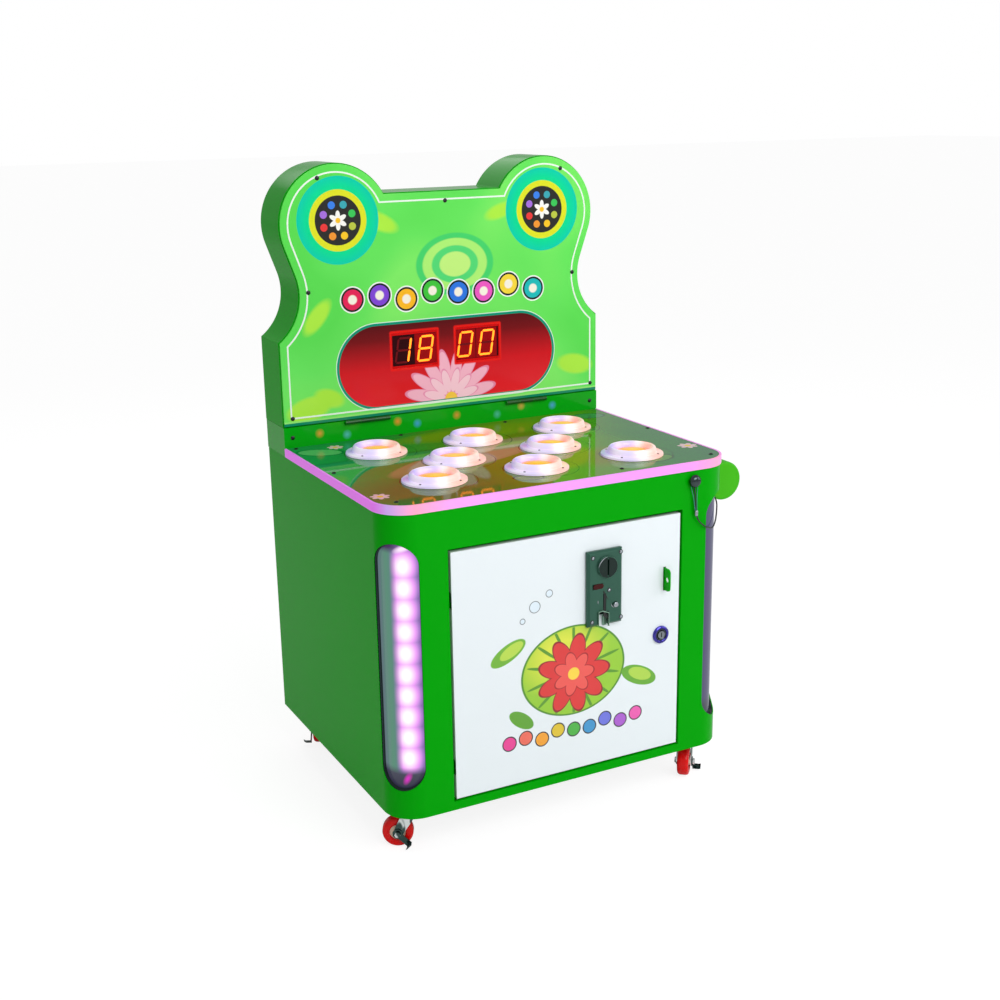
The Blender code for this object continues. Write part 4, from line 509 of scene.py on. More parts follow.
def light_column(place, centre, turn):
    """Distance from the nearest of a column of lights, and the way along a round wall."""
    x, y, z = split(vector("SUBTRACT", place, centre))
    across = (y.to("ARCTAN2", x) - turn).to("WRAP", math.pi, in2=-math.pi) * LED_REACH
    height = z - LED_LOW
    cell = (height / LED_PITCH + 0.5).to("FLOOR").to("MINIMUM", LED_LAST).to("MAXIMUM", 0.0)
    return length(across, (height - cell * LED_PITCH) * 0.76), across


ORIGIN = (0, 0, 0)
SURFACE = group("coated_surface", coated, ("Color", "Roughness", "Height"),
                Color=(0.5, 0.5, 0.5, 1), Grain=400.0, Drift=0.06, Roughness=0.2, Spread=0.05)
DISC = group("disc_mask", disc, ("Mask", "Distance"), Vector=ORIGIN, Centre=ORIGIN,
             Stretch=(1, 1, 1), Radius=0.05, Edge=EDGE, Axis=(0, 1, 0), Angle=0.0)
BAR = group("rounded_bar", rounded_bar, ("Distance",), Vector=ORIGIN, Centre=ORIGIN,
            Half=(0.1, 0, 0.1), Corner=0.02)
DOT_RING = group("dot_ring", dot_ring, ("Mask", "Turn"), Vector=ORIGIN, Centre=ORIGIN,
                 Count=8.0, Ring=0.027, Dot=0.006, Long=1.0)
DOT_ROW = group("dot_row", dot_row, ("Distance", "Share"), Vector=ORIGIN, First=ORIGIN,
                Pitch=0.05, Count=8.0, Sway=0.0)
LIGHT_COLUMN = group("light_column", light_column, ("Distance", "Across"), Vector=ORIGIN,
                     Centre=ORIGIN, Turn=0.0)


def paint(name, colour, grain=400.0, drift=0.06, rough=0.2, spread=0.05, bump=0.02,
          reach=0.0002, **sockets):
    """A material whose colour, gloss and fine height come from the shared surface group."""
    mat = bpy.data.materials.new(name)
    mat.use_nodes = True
    mat.diffuse_color = tint(*colour)
    shader = mat.node_tree.nodes["Principled BSDF"]
    skin = wired(mat.node_tree, "ShaderNodeGroup", node_tree=SURFACE, Color=colour,
                 Grain=grain, Drift=drift, Roughness=rough, Spread=spread).outputs
    height = wired(mat.node_tree, "ShaderNodeBump", Strength=bump, Distance=reach,
                   Height=Wire(skin["Height"]))
    sockets.update(Base_Color=Wire(skin["Color"]), Roughness=Wire(skin["Roughness"]),
                   Normal=Wire(height.outputs[0]))
    for key, value in sockets.items():
        feed(shader.inputs[key.replace("_", " ")], value)
    return mat


def recolour(mat, build, lit=False):
    """Feed a pattern into the surface group, and into the emission of a lit piece.

    The pattern gets the object's place and the same place in the cabinet's own layout.
    """
    tree = mat.node_tree
    where = object_place(tree)
    colour = build(where, vector("SUBTRACT", where, SHIFT))
    skin = next(n for n in tree.nodes if n.type == "GROUP" and n.node_tree == SURFACE)
    feed(skin.inputs["Color"], colour)
    if lit:
        feed(tree.nodes["Principled BSDF"].inputs["Emission Color"], colour)
    return mat


def spot(place, onto, colour, x, z, radius, wide=1.0, tall=1.0, angle=0.0, edge=EDGE,
         level=False):
    """Lay a disc or turned oval over an upright print, or over a level one as (x, y)."""
    mask = effect(DISC, place, Centre=(x, z, 0) if level else (x, 0, z),
                  Stretch=(1 / wide, 1 / tall, 0) if level else (1 / wide, 0, 1 / tall),
                  Radius=radius, Edge=edge, Axis=(0, 0, 1) if level else (0, 1, 0),
                  Angle=math.radians(angle))["Mask"]
    return mixed(mask, onto, colour)


def rosette(place, x, z, count, ring_r, dot, long=1.0):
    return effect(DOT_RING, place, Centre=(x, 0, z), Count=count,
                  Ring=ring_r, Dot=dot, Long=long)


def bar_distance(place, x, z, half_x, half_z, corner):
    return effect(BAR, place, Centre=(x, 0, z), Half=(half_x, 1.0, half_z),
                  Corner=corner)["Distance"]


# Camera

camera = linked("camera", bpy.data.cameras.new("camera"))
camera.data.lens = 50.4586
camera.data.sensor_width = 36
ahead = Vector((0.442391, 0.854275, -0.272954))
across = Vector((0.885823, -0.463756, -0.015734))
upward = Vector((0.140025, 0.234829, 0.961898))
camera.matrix_world = (Matrix.Translation(Vector((-1.054156, -1.79801, 1.139113)) + SHIFT)
                       @ Matrix((across, upward, -ahead)).transposed().to_4x4())
bpy.context.scene.camera = camera

# Materials

GREEN = paint("green_paint", (0, 164, 5), 900, rough=0.15, spread=0.06, bump=0.015,
              Specular_IOR_Level=0.05)
RISER_MAT = paint("riser_print", (0, 166, 14), 900, rough=0.12, bump=0.01,
                  Specular_IOR_Level=0.2)
RIM = paint("lit_edge_strip", (236, 150, 246), rough=0.3, bump=0.0, Specular_IOR_Level=0.3,
            Emission_Strength=0.2)
DECK_MAT = paint("deck_print", (96, 140, 40), rough=0.04, spread=0.02, bump=0.0,
                 Specular_IOR_Level=0.24)
FACE_MAT = paint("header_print", (105, 232, 95), rough=0.10, spread=0.03, bump=0.0,
                 Specular_IOR_Level=0.25)
LINE_MAT = paint("white_line", (240, 250, 240), rough=0.3, bump=0.01)
DOOR_MAT = paint("door_print", (234, 242, 246), rough=0.16, spread=0.04, Coat_Weight=0.5,
                 Coat_Roughness=0.08)
FLANGE_MAT = paint("lit_pad_flange", (250, 226, 228), rough=0.12, spread=0.04, bump=0.0,
                   Alpha=0.9, Emission_Strength=0.22)
RING_MAT = paint("lit_pad_ring", (250, 226, 236), spread=0.06, bump=0.0, Emission_Strength=0.3)
WELL_MAT = paint("lit_pad_button", (242, 190, 50), rough=0.3, Emission_Strength=0.3)
LED_MAT = paint("led_strip", (250, 225, 250), rough=0.4, Emission_Color=(255, 200, 255),
                Emission_Strength=1.0)
CHROME = paint("chrome", (158, 164, 170), 700, 0.05, 0.14, 0.12, Metallic=1.0)
DARK_CHROME = paint("dark_chrome", (132, 138, 144), 700, 0.08, 0.16, 0.12, Metallic=1.0)
ANCHOR = paint("anchor_dark", (70, 80, 82), 700, 0.1, 0.14, 0.12, Metallic=1.0)
LOCK_CHROME = paint("lock_ring_chrome", (72, 66, 158), 600, 0.1, 0.16, 0.12, Metallic=1.0)
LOCK_FACE = paint("lock_face_chrome", (70, 78, 84), 600, 0.2, 0.14, 0.12, Metallic=1.0)
ZINC = paint("zinc_plate", (176, 180, 182), 260, 0.15, 0.34, 0.2, Metallic=1.0)
# Caster forks: chrome whose colour gets a painted studio reflection further down
CASTER_CHROME = paint("caster_chrome", (190, 196, 200), 500, 0.1, 0.2, 0.2, Metallic=1.0)
# Brake pedals: chrome painted dark, a painted reflection of dark surroundings
PEDAL_CHROME = paint("pedal_chrome", (64, 84, 80), 500, 0.2, 0.18, 0.2, Metallic=1.0)
COIN_MAT = paint("coin_metal", (48, 92, 76), 600, 0.12, 0.3, 0.18, 0.06, Metallic=0.5)
COIN_EDGE = paint("coin_bevel", (124, 158, 140), 600, 0.1, 0.25, 0.15, Metallic=0.7)
DIAL_MAT = paint("coin_dial_face", (26, 42, 38), 700, 0.2, 0.16, 0.1, Metallic=0.6)
# Painted shade: the black of the coin slot and its mouth stands for shade inside them
SLOT_SHADE = paint("coin_slot_shade", (12, 15, 15), rough=0.4)
DARK = paint("dark_plastic", (34, 38, 42), 1500, rough=0.42, bump=0.08)
BLACK = paint("black_screw", (58, 60, 62), 900, rough=0.24, Metallic=0.9)
# Header hinges: green paint made dark, a painted shade for the shaded joint under the header
HINGE = paint("hinge_green_painted_shade", (8, 74, 22), 900, rough=0.3)
BOARD = paint("board_green", (28, 88, 48), 220, 0.3, 0.5)
TYRE = paint("red_tyre", (226, 8, 5), 800, Specular_IOR_Level=0.25)
HUB = paint("cream_hub", (236, 214, 190), 700, rough=0.4)
FOAM = paint("mallet_foam", (62, 182, 4), 1700, 0.05, 0.46, bump=0.12, reach=0.0003,
             Specular_IOR_Level=0.2)
GRIP = paint("mallet_plastic", (50, 168, 10), 900, rough=0.36)
SHEATH = paint("tether_wire", (44, 46, 48), 2400, rough=0.34, Metallic=0.3)
LEG = paint("wire_leg", (70, 150, 138), 2000, rough=0.3, Metallic=0.4)
RED_FRAME = paint("display_frame", (196, 6, 10), rough=0.3, Specular_IOR_Level=0.1,
                  Emission_Color=(255, 10, 10), Emission_Strength=0.1)
RED_DARK = paint("display_recess", (60, 6, 6), rough=0.25, Specular_IOR_Level=0.2)
TILE_DARK = paint("digit_tile_dark", (48, 3, 10), Specular_IOR_Level=0.1)
TILE_LIT = paint("digit_tile_lit", (140, 6, 12), Specular_IOR_Level=0.1,
                 Emission_Color=(190, 0, 6), Emission_Strength=0.12)
UNLIT = paint("unlit_bar", (112, 14, 22), rough=0.3, Specular_IOR_Level=0.1)
LIT = paint("lit_bar", (255, 150, 30), rough=0.3, Emission_Color=(255, 98, 12),
            Emission_Strength=2.9)


# Prints: pond leaves, flowers and dots of the maker's own, in the object's colours; then colours
# of the lights, and painted light, shade and reflection

def header_print(where, place):
    height = split(place)[2]
    shade = ramp(noise(where, 5.0, 1.0), (0.35, 92, 224, 84), (0.5, 104, 232, 95),
                 (0.66, 128, 240, 104))
    for x, z, r, wide, angle in ((-0.262, 0.640, 0.020, 2.0, 12), (-0.225, 0.655, 0.015, 1.8, -20),
                                 (0.262, 0.668, 0.018, 2.0, -10), (-0.240, 0.795, 0.014, 2.4, 50),
                                 (0.215, 0.900, 0.012, 2.2, 30), (-0.120, 0.948, 0.014, 2.4, -24),
                                 (0.110, 0.955, 0.012, 2.4, 18)):
        shade = spot(place, shade, (176, 240, 70), x, z, r, wide, 1.0, angle, 0.003)
    for r, colour in ((0.060, (70, 214, 110)), (0.050, (176, 244, 120)),
                      (0.036, (84, 220, 120)), (0.024, (196, 246, 130))):
        shade = spot(place, shade, colour, 0.020, 0.868, r, 1.25, 0.9, 0, 0.0012)
    row = effect(DOT_ROW, place, First=(-0.175, 0, 0.820), Pitch=0.050,
                 Count=8.0, Sway=0.006)
    gem = ramp(row["Share"], (0.0, 232, 36, 90), (0.143, 128, 70, 220), (0.286, 255, 190, 30),
               (0.429, 60, 200, 60), (0.571, 40, 120, 230), (0.714, 240, 90, 200),
               (0.857, 250, 220, 60), (1.0, 30, 190, 190))
    for reach, soft, colour in ((0.0228, EDGE, (246, 250, 246)), (0.0205, EDGE, (24, 40, 34)),
                                (0.0172, EDGE, gem), (0.0070, 0.002, (250, 246, 230))):
        shade = mixed(within(row["Distance"], reach, soft), shade, colour)
    for sign in (-1, 1):
        x, z = sign * 0.1947, 0.9537
        lobe = effect(DISC, place, Centre=(x, 0, z), Stretch=(1, 0, 1),
                      Radius=0.073)
        teal = ramp(ranged(lobe["Distance"], 0.050, 0.073), (0.0, 0, 226, 140),
                    (1.0, 0, 208, 176))
        shade = mixed(lobe["Mask"], shade, teal)
        shade = spot(place, shade, (226, 230, 40), x, z, 0.051)
        shade = spot(place, shade, (46, 46, 44), x, z, 0.041)
        dots = rosette(place, x, z, 8.0, 0.0275, 0.0062)
        hue = ramp(dots["Turn"], (0.0, 236, 60, 60), (0.25, 250, 200, 40), (0.5, 60, 200, 90),
                   (0.75, 60, 130, 235), (1.0, 220, 90, 210))
        shade = mixed(dots["Mask"], shade, hue)
        petals = rosette(place, x, z, 6.0, 0.0085, 0.0038, 2.0)["Mask"]
        shade = mixed(petals, shade, (250, 250, 244))
        shade = spot(place, shade, (250, 196, 40), x, z, 0.0045)
    panel = bar_distance(place, 0.0045, 0.7010, 0.2090, 0.0705, 0.0700)
    shade = mixed(within(panel, 0.0058), shade, (226, 250, 232))
    shade = mixed(within(panel, 0.0044), shade, (0, 150, 120))
    depth = ramp(ranged(height, 0.628, 0.775), (0.0, 236, 34, 44), (0.45, 214, 10, 24),
                 (0.8, 120, 4, 12), (1.0, 84, 2, 10))
    for count, ring_r, dot, long, colour in ((16.0, 0.0560, 0.0110, 3.2, (236, 140, 176)),
                                             (16.0, 0.0560, 0.0098, 3.1, (252, 186, 208)),
                                             (12.0, 0.0330, 0.0084, 2.8, (240, 150, 186)),
                                             (12.0, 0.0330, 0.0074, 2.7, (254, 208, 222))):
        fan = rosette(place, 0.006, 0.6300, count, ring_r, dot, long)["Mask"]
        depth = mixed(fan, depth, colour)
    depth = spot(place, depth, (252, 206, 70), 0.006, 0.630, 0.012)
    shade = mixed(within(panel, 0.0), shade, depth)
    for middle in DISPLAYS.values():
        glow = bar_distance(place, middle, DISPLAY_Z, 0.0450, 0.0330, 0.0010)
        shade = mixed(within(glow, 0.0010, 0.0024), shade, (238, 18, 10))
    shade = mixed(within(height, 0.6216), shade, (150, 240, 120))
    return mixed(within(height, 0.6188), shade, (10, 140, 100))


def door_print(where, place):
    x, z = 0.006, 0.262
    shade = (234, 242, 246)
    for r, colour in ((0.0960, (74, 140, 20)), (0.0925, (150, 205, 40))):
        shade = spot(place, shade, colour, x, z, r, 1.0, 0.80)
    glow = effect(DISC, place, Centre=(x - 0.02, 0, z + 0.03),
                  Stretch=(1, 0, 1.2), Radius=0.060, Edge=0.030)["Mask"]
    inside = effect(DISC, place, Centre=(x, 0, z), Stretch=(1, 0, 1.25),
                    Radius=0.0915)["Mask"]
    shade = mixed(glow * inside, shade, (222, 230, 60))
    veins = rosette(place, x, z, 14.0, 0.0640, 0.0024, 9.0)["Mask"]
    shade = mixed(veins * inside, shade, (84, 150, 24))
    for count, ring_r, dot, long, colour in ((9.0, 0.0400, 0.0150, 1.9, (140, 10, 14)),
                                             (9.0, 0.0400, 0.0135, 1.85, (222, 40, 40)),
                                             (7.0, 0.0210, 0.0105, 1.7, (160, 12, 16)),
                                             (7.0, 0.0210, 0.0094, 1.65, (240, 84, 76))):
        petals = rosette(place, x, z - 0.006, count, ring_r, dot, long)["Mask"]
        shade = mixed(petals, shade, colour)
    shade = spot(place, shade, (252, 214, 60), x, z - 0.006, 0.0105)
    for dx, dz, r, wide, angle, colour in ((-0.118, 0.052, 0.018, 1.9, 28, (110, 180, 40)),
                                           (-0.112, 0.055, 0.012, 1.9, 28, (186, 220, 70)),
                                           (0.124, -0.034, 0.020, 1.8, -24, (100, 172, 36)),
                                           (0.126, -0.032, 0.013, 1.8, -24, (176, 216, 70)),
                                           (-0.096, -0.066, 0.015, 1.7, -36, (92, 164, 34))):
        shade = spot(place, shade, colour, x + dx, z + dz, r, wide, 0.8, angle)
    for dx, dz, r in ((-0.070, 0.120, 0.0100), (-0.044, 0.138, 0.0065), (-0.092, 0.100, 0.0050)):
        shade = spot(place, shade, (60, 70, 70), x + dx, z + dz, r)
        shade = spot(place, shade, (226, 240, 250), x + dx, z + dz, r - 0.0011)
    row = effect(DOT_ROW, place, First=(-0.112, 0, 0.160), Pitch=0.0295,
                 Count=9.0, Sway=0.005)
    gem = ramp(row["Share"], (0.0, 236, 60, 150), (0.17, 244, 120, 40), (0.34, 250, 200, 30),
               (0.5, 70, 180, 60), (0.66, 50, 140, 230), (0.83, 140, 90, 220),
               (1.0, 240, 90, 180))
    shade = mixed(within(row["Distance"], 0.0128), shade, (30, 34, 36))
    shade = mixed(within(row["Distance"], 0.0108), shade, gem)
    outside = within(split(place)[1], FRONT + 0.0005, 0.0005)
    return mixed(outside, (228, 234, 236), shade)


# Leaves on the deck: x, y, radius, rim, stretch, turn, colours of the rim and of the leaf
LEAVES = ((-0.268, 0.376, 0.026, 0.004, 1.40, 30, (0, 112, 66), (90, 186, 110)),
          (-0.196, 0.305, 0.019, 0.003, 1.30, -12, (0, 104, 50), (60, 160, 74)),
          (0.262, 0.385, 0.023, 0.003, 1.30, 14, (8, 84, 44), (70, 140, 84)),
          (0.196, 0.052, 0.021, 0.003, 1.30, -10, (10, 84, 40), (86, 146, 62)),
          (-0.045, 0.052, 0.017, 0.003, 1.30, 20, (60, 76, 20), (120, 138, 44)))


def deck_print(where, place):
    x_place, y_place, _ = split(place)
    along = x_place + (noise(where, 6.0, 1.0) - 0.5) * 0.16 + y_place * -0.32
    shade = ramp(ranged(along, -0.40, 0.28), (0.0, 26, 146, 78), (0.20, 30, 140, 54),
                 (0.36, 84, 128, 24), (0.56, 112, 142, 20), (0.74, 92, 150, 18),
                 (0.86, 44, 128, 52), (1.0, 34, 116, 70))
    for x, y, r, wide, tall, angle, edge, colour in (
            (-0.060, 0.222, 0.150, 1.20, 0.34, -20, 0.0060, (150, 138, 84)),
            (-0.050, 0.212, 0.110, 1.20, 0.30, -20, 0.0200, (168, 150, 104)),
            (0.030, 0.375, 0.075, 2.00, 0.50, 0, 0.0200, (122, 146, 10)),
            (-0.215, 0.070, 0.080, 1.30, 0.90, 0, 0.0400, (86, 112, 50)),
            (0.120, 0.110, 0.060, 1.40, 0.90, 12, 0.0260, (124, 136, 20))):
        shade = spot(place, shade, colour, x, y, r, wide, tall, angle, edge, True)
    for x, y, r, rim, wide, angle, dark, light in LEAVES:
        shade = spot(place, shade, dark, x, y, r + rim, wide, 0.80, angle, 0.0012, True)
        shade = spot(place, shade, light, x, y, r, wide, 0.80, angle, 0.0012, True)
    for x, y in PAD_SPOTS:
        near = effect(DISC, place, Centre=(x + 0.006, y - 0.003, 0),
                      Stretch=(1, 1, 0), Radius=0.0660, Axis=(0, 0, 1))["Distance"]
        line = within(near, 0.0612, 0.0006) * ranged(near, 0.0598, 0.0604)
        shade = mixed(line * 0.7, shade, (34, 62, 18))
    upright = Wire(wired(place.tree, "ShaderNodeCombineXYZ", X=x_place, Z=y_place).outputs[0])
    for x, y, size in ((-0.288, 0.070, 0.0050), (0.286, 0.098, 0.0056), (0.020, 0.320, 0.0046),
                       (-0.232, 0.398, 0.0046)):
        petals = rosette(upright, x, y, 7.0, size * 1.7, size * 0.8, 1.7)["Mask"]
        shade = mixed(petals, shade, (232, 196, 206))
        shade = spot(place, shade, (244, 200, 60), x, y, size, level=True)
    return shade


def riser_print(where, place):
    shade = (0, 166, 14)
    for x, z, colour in ((-0.246, 0.596, (230, 160, 60)), (-0.196, 0.588, (90, 190, 190)),
                         (-0.100, 0.600, (236, 150, 50)), (-0.062, 0.592, (70, 170, 220)),
                         (0.016, 0.598, (220, 150, 60)), (0.098, 0.590, (80, 190, 160)),
                         (0.148, 0.600, (210, 170, 70)), (0.214, 0.594, (80, 170, 220))):
        shade = spot(place, shade, colour, x, z, 0.0046, edge=0.0046)
    return shade


def lit_edge(where, place):
    """Colours of the light inside the strip, violet on the left to salmon at the corners."""
    return ramp(ranged(split(place)[0], -DECK_HALF, DECK_HALF), (0.0, 236, 118, 246),
                (0.02, 206, 168, 240), (0.08, 252, 160, 190), (0.20, 242, 158, 244),
                (0.55, 236, 150, 246), (0.84, 244, 150, 240), (0.95, 250, 158, 196),
                (1.0, 238, 150, 240))


def painted_studio_reflection(where, place):
    """Painted reflection: the light and dark of a studio, as polished plate of a small size shows
    it.
    """
    cloud = noise(vector("MULTIPLY", where, (1.0, 1.0, 0.55)), 95.0, 0.0, Distortion=0.8)
    return ramp(cloud, (0.36, 70, 90, 86), (0.46, 120, 136, 134), (0.54, 200, 208, 208),
                (0.62, 236, 242, 242))


def painted(where, name, *stops):
    """Colours that follow a value stored on the mesh."""
    return ramp(Wire(wired(where.tree, "ShaderNodeAttribute",
                           attribute_name=name).outputs["Fac"]), *stops)


def lit_ring(where, place):
    """Painted light and shade that go round the ring from lavender through white to salmon."""
    return painted(where, "light_side", (0.0, 178, 166, 232), (0.20, 214, 202, 246),
                   (0.42, 252, 240, 250), (0.58, 255, 238, 238), (0.78, 254, 206, 196),
                   (1.0, 250, 166, 154))


def lit_well(where, place):
    """Yellow middle going to orange at the button's edge."""
    return painted(where, "from_middle", (0.0, 255, 204, 40), (0.55, 250, 176, 26),
                   (0.9, 238, 130, 34), (1.0, 226, 120, 84))


for mat, pattern in ((RISER_MAT, riser_print), (FACE_MAT, header_print),
                     (DOOR_MAT, door_print), (DECK_MAT, deck_print),
                     (CASTER_CHROME, painted_studio_reflection)):
    recolour(mat, pattern)
for mat, pattern in ((RIM, lit_edge), (RING_MAT, lit_ring), (FLANGE_MAT, lit_ring),
                     (WELL_MAT, lit_well)):
    recolour(mat, pattern, lit=True)

LENS_LOOK = {-1: (-120, (96, 116, 122), (82, 134, 112), (90, 122, 128)),
             1: (-14, (76, 70, 108), (74, 74, 102), (60, 72, 92))}


def lens_material(name, sign):
    """Milky lens painted with the glow of ten lights on it, with painted shade round its edge and
    darker at its foot; the whole pattern is given out as light.
    """
    mat = paint(name, (30, 38, 36), rough=0.14, bump=0.0, Specular_IOR_Level=0.3,
                Emission_Strength=1.0)
    tree = mat.node_tree
    place = vector("SUBTRACT", object_place(tree), SHIFT)
    centre = (sign * (HALF - CORNER), FRONT + CORNER, 0)
    line_turn, *greys = LENS_LOOK[sign]
    column = effect(LIGHT_COLUMN, place, Centre=centre, Turn=math.radians(line_turn))
    glow = ramp(ranged(column["Distance"], 0.0, 0.026), (0.0, 255, 255, 255),
                (0.26, 255, 252, 255), (0.42, 255, 214, 255), (0.62, 240, 158, 248),
                (0.84, 176, 128, 208), (1.0, 132, 108, 170))
    grey = ramp(ranged(column["Across"], -0.045, -0.010),
                *((step, *colour) for step, colour in zip((0.0, 0.5, 1.0), greys)))
    glow = mixed(ranged(column["Across"], -0.022, -0.010, 1.0, 0.0), glow, grey)
    level = turned(vector("SUBTRACT", place, centre), -sign * math.pi / 4, (0, 0, 1))
    height = split(place)[2]
    foot = ramp(ranged(height, 0.116, 0.150), (0.0, 30, 20, 56), (0.5, 54, 50, 72),
                (1.0, 66, 66, 84))
    glow = mixed(ranged(height, 0.142, 0.154, 1.0, 0.0), glow, foot)
    # Painted light on the left lens: a magenta glow low down, a dark purple patch at the top left
    # and a white-pink highlight at the top right
    if sign < 0:
        glow = spot(level, glow, (214, 30, 190), 0.008, 0.1355, 0.0046, 0.8, 1.7, -28, 0.0032)
        glow = spot(level, glow, (62, 28, 86), -0.014, 0.5125, 0.0110, 1.7, 0.7, 0, 0.0070)
        glow = spot(level, glow, (255, 232, 255), 0.0130, 0.5090, 0.0070, 1.8, 0.6, 20, 0.0036)
    # Painted shade round the edge of the window, where the opening's wall shades the lens
    shaded_edge = bar_distance(level, 0, (WINDOW_LOW + WINDOW_HIGH) / 2, WINDOW_W / 2,
                           (WINDOW_HIGH - WINDOW_LOW) / 2, WINDOW_W / 2)
    feed(tree.nodes["Principled BSDF"].inputs["Emission Color"],
         mixed(ranged(shaded_edge, -0.0034, -0.0016), glow, (12, 18, 20)))
    return mat


# Tether with its sheath

TETHER_R = 0.00125
TETHER_ROUTE = [
    (0.2310, -0.0002, 0.5391), (0.2325, -0.0025, 0.5190), (0.2340, -0.0035, 0.4910),
    (0.2388, -0.0036, 0.4785), (0.2466, -0.0030, 0.4705), (0.2550, -0.0020, 0.4646),
    (0.2630, 0.0008, 0.4615), (0.2699, 0.0046, 0.4585), (0.2780, 0.0092, 0.4586),
    (0.2862, 0.0148, 0.4660), (0.2950, 0.0240, 0.4790), (0.3040, 0.0370, 0.4900),
    (0.3125, 0.0580, 0.4950), (0.3150, 0.0760, 0.4900), (0.3145, 0.1000, 0.4816),
    (0.3145, 0.1282, 0.4804), (0.3145, 0.1558, 0.4806), (0.3146, 0.1690, 0.4788),
    (0.3160, 0.1840, 0.4550), (0.3190, 0.1920, 0.4100), (0.3240, 0.1879, 0.3550),
    (0.3310, 0.1720, 0.3001), (0.3380, 0.1520, 0.2680), (0.3440, 0.1350, 0.2630),
    (0.3460, 0.1282, 0.2750), (0.3460, 0.1282, 0.2970),
]


def smooth_path(route, steps):
    """Points along a centripetal curve through the route."""
    points = [Vector(point) for point in route]
    points = [points[0] * 2 - points[1]] + points + [points[-1] * 2 - points[-2]]
    dense = []
    for p0, p1, p2, p3 in zip(points, points[1:], points[2:], points[3:]):
        t1 = (p1 - p0).length ** 0.5
        t2 = t1 + (p2 - p1).length ** 0.5
        t3 = t2 + (p3 - p2).length ** 0.5
        for index in range(steps):
            t = t1 + (t2 - t1) * index / steps
            a1 = p0 * ((t1 - t) / t1) + p1 * (t / t1)
            a2 = p1 * ((t2 - t) / (t2 - t1)) + p2 * ((t - t1) / (t2 - t1))
            a3 = p2 * ((t3 - t) / (t3 - t2)) + p3 * ((t - t2) / (t3 - t2))
            b1 = a1 * ((t2 - t) / t2) + a2 * (t / t2)
            b2 = a2 * ((t3 - t) / (t3 - t1)) + a3 * ((t - t1) / (t3 - t1))
            dense.append(b1 * ((t2 - t) / (t2 - t1)) + b2 * ((t - t1) / (t2 - t1)))
    return dense + [points[-2]]


tether_path = smooth_path(TETHER_ROUTE, 5)
tether = clad(tube("tether_cord_sheath", tether_path, TETHER_R, 4), SHEATH)
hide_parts("tether_cord")
tether_length = sum((b - a).length for a, b in zip(tether_path, tether_path[1:]))
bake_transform(tether)
tether_path[0] + SHIFT
[point + SHIFT for point in tether_path]


# Cabinet skin: one folded sheet round the front corners

def plan(inset, rear, half=HALF, front=FRONT, radius=CORNER):
    """Outline of the cabinet from above, open at the rear and drawn in by the inset."""
    points = [(inset - half, rear)]
    points += arc((radius - half, front + radius), radius - inset, 180, 270, 20)
    points += arc((half - radius, front + radius), radius - inset, 270, 360, 20)
    return points + [(half - inset, rear)]


def deck_plan(inset):
    return plan(inset, DECK_D - 0.0003, DECK_HALF, 0, DECK_R)


def slot_loop(width, low, high):
    """Upright slot with round ends, in (u, z)."""
    half = width / 2
    return arc((0, low + half), half, 180, 360, 24) + arc((0, high - half), half, 0, 180, 24)


def door_hole(name, grow, front, rear):
    """Block that fills the door's opening, grown on all sides."""
    side, gap = DOOR_HALF + DOOR_GAP + grow, DOOR_GAP + grow
    return block(name, (-side, front, DOOR_LOW - gap),
                 (side, rear, DOOR_HIGH + 1.5 * DOOR_GAP + grow))


CORNERS = {sign: Matrix.Translation((sign * (HALF - CORNER), FRONT + CORNER, 0))
           @ Matrix.Rotation(sign * math.pi / 4, 4, "Z") for sign in (-1, 1)}
FOLD_END, SKIN_INNER = HALF - FLANGE, SKIN_REAR - SHEET
skin = flat("cabinet_skin", [
    [(-FOLD_END, SKIN_REAR)] + plan(0, SKIN_REAR) + [(FOLD_END, SKIN_REAR)]
    + [(FOLD_END, SKIN_INNER)] + list(reversed(plan(SHEET, SKIN_INNER)))
    + [(-FOLD_END, SKIN_INNER)]], FLOOR, TOP)
cut(skin, door_hole("door_opening", 0, -0.02, 0.01))
for side, sign in SIDES.items():
    hole = flat("window_" + side, [slot_loop(WINDOW_W, WINDOW_LOW, WINDOW_HIGH)],
                -CORNER - 0.01, -CORNER / 2, "Y")
    cut(skin, apply_place(hole, CORNERS[sign]))
settle(soften(skin, 0.0003, 2, 50), "cabinet", GREEN, "green_paint", "cabinet_shell")
top_flange = flat("top_flange", [band(plan(0.0008, SKIN_REAR - 0.003),
                                      plan(FLANGE, SKIN_REAR - 0.003))],
                  TOP - 0.0018, TOP - 0.0003)
settle(top_flange, "cabinet", GREEN, "green_paint")

frame_walls = door_hole("door_frame", SHEET, 0.0036, LIP_BACK)
LIP = 0.012
cut(frame_walls, door_hole("frame_room", 0, -0.01, 0.020),
    block("frame_hole", (LIP - DOOR_HALF, 0, DOOR_LOW + LIP),
          (DOOR_HALF - LIP, 0.03, DOOR_HIGH - LIP)))
settle(soften(frame_walls, 0.0003), "cabinet", GREEN, "green_paint")

TAB_X, TAB_Z = 0.1781, 0.3868
tab_loop = [(0.0240, TAB_Z + 0.019)]
tab_loop += arc((-0.0077, TAB_Z + 0.0127), 0.0063, 90, 180, 8)
tab_loop += arc((-0.0077, TAB_Z - 0.0127), 0.0063, 180, 270, 8) + [(0.0240, TAB_Z - 0.019)]
tab = flat("padlock_tab", [tab_loop, ring((-0.006, TAB_Z), 0.0045, 24)], TAB_X - 0.00125,
           TAB_X + 0.00125, "X")
foot = block("padlock_tab_foot", (TAB_X, LIP_BACK, TAB_Z - 0.0185),
             (0.2021, 0.0239, TAB_Z + 0.0185))
settle(joined("padlock_tab", soften(tab, 0.0003), soften(foot, 0.0003)), "cabinet", GREEN,
       "green_paint")

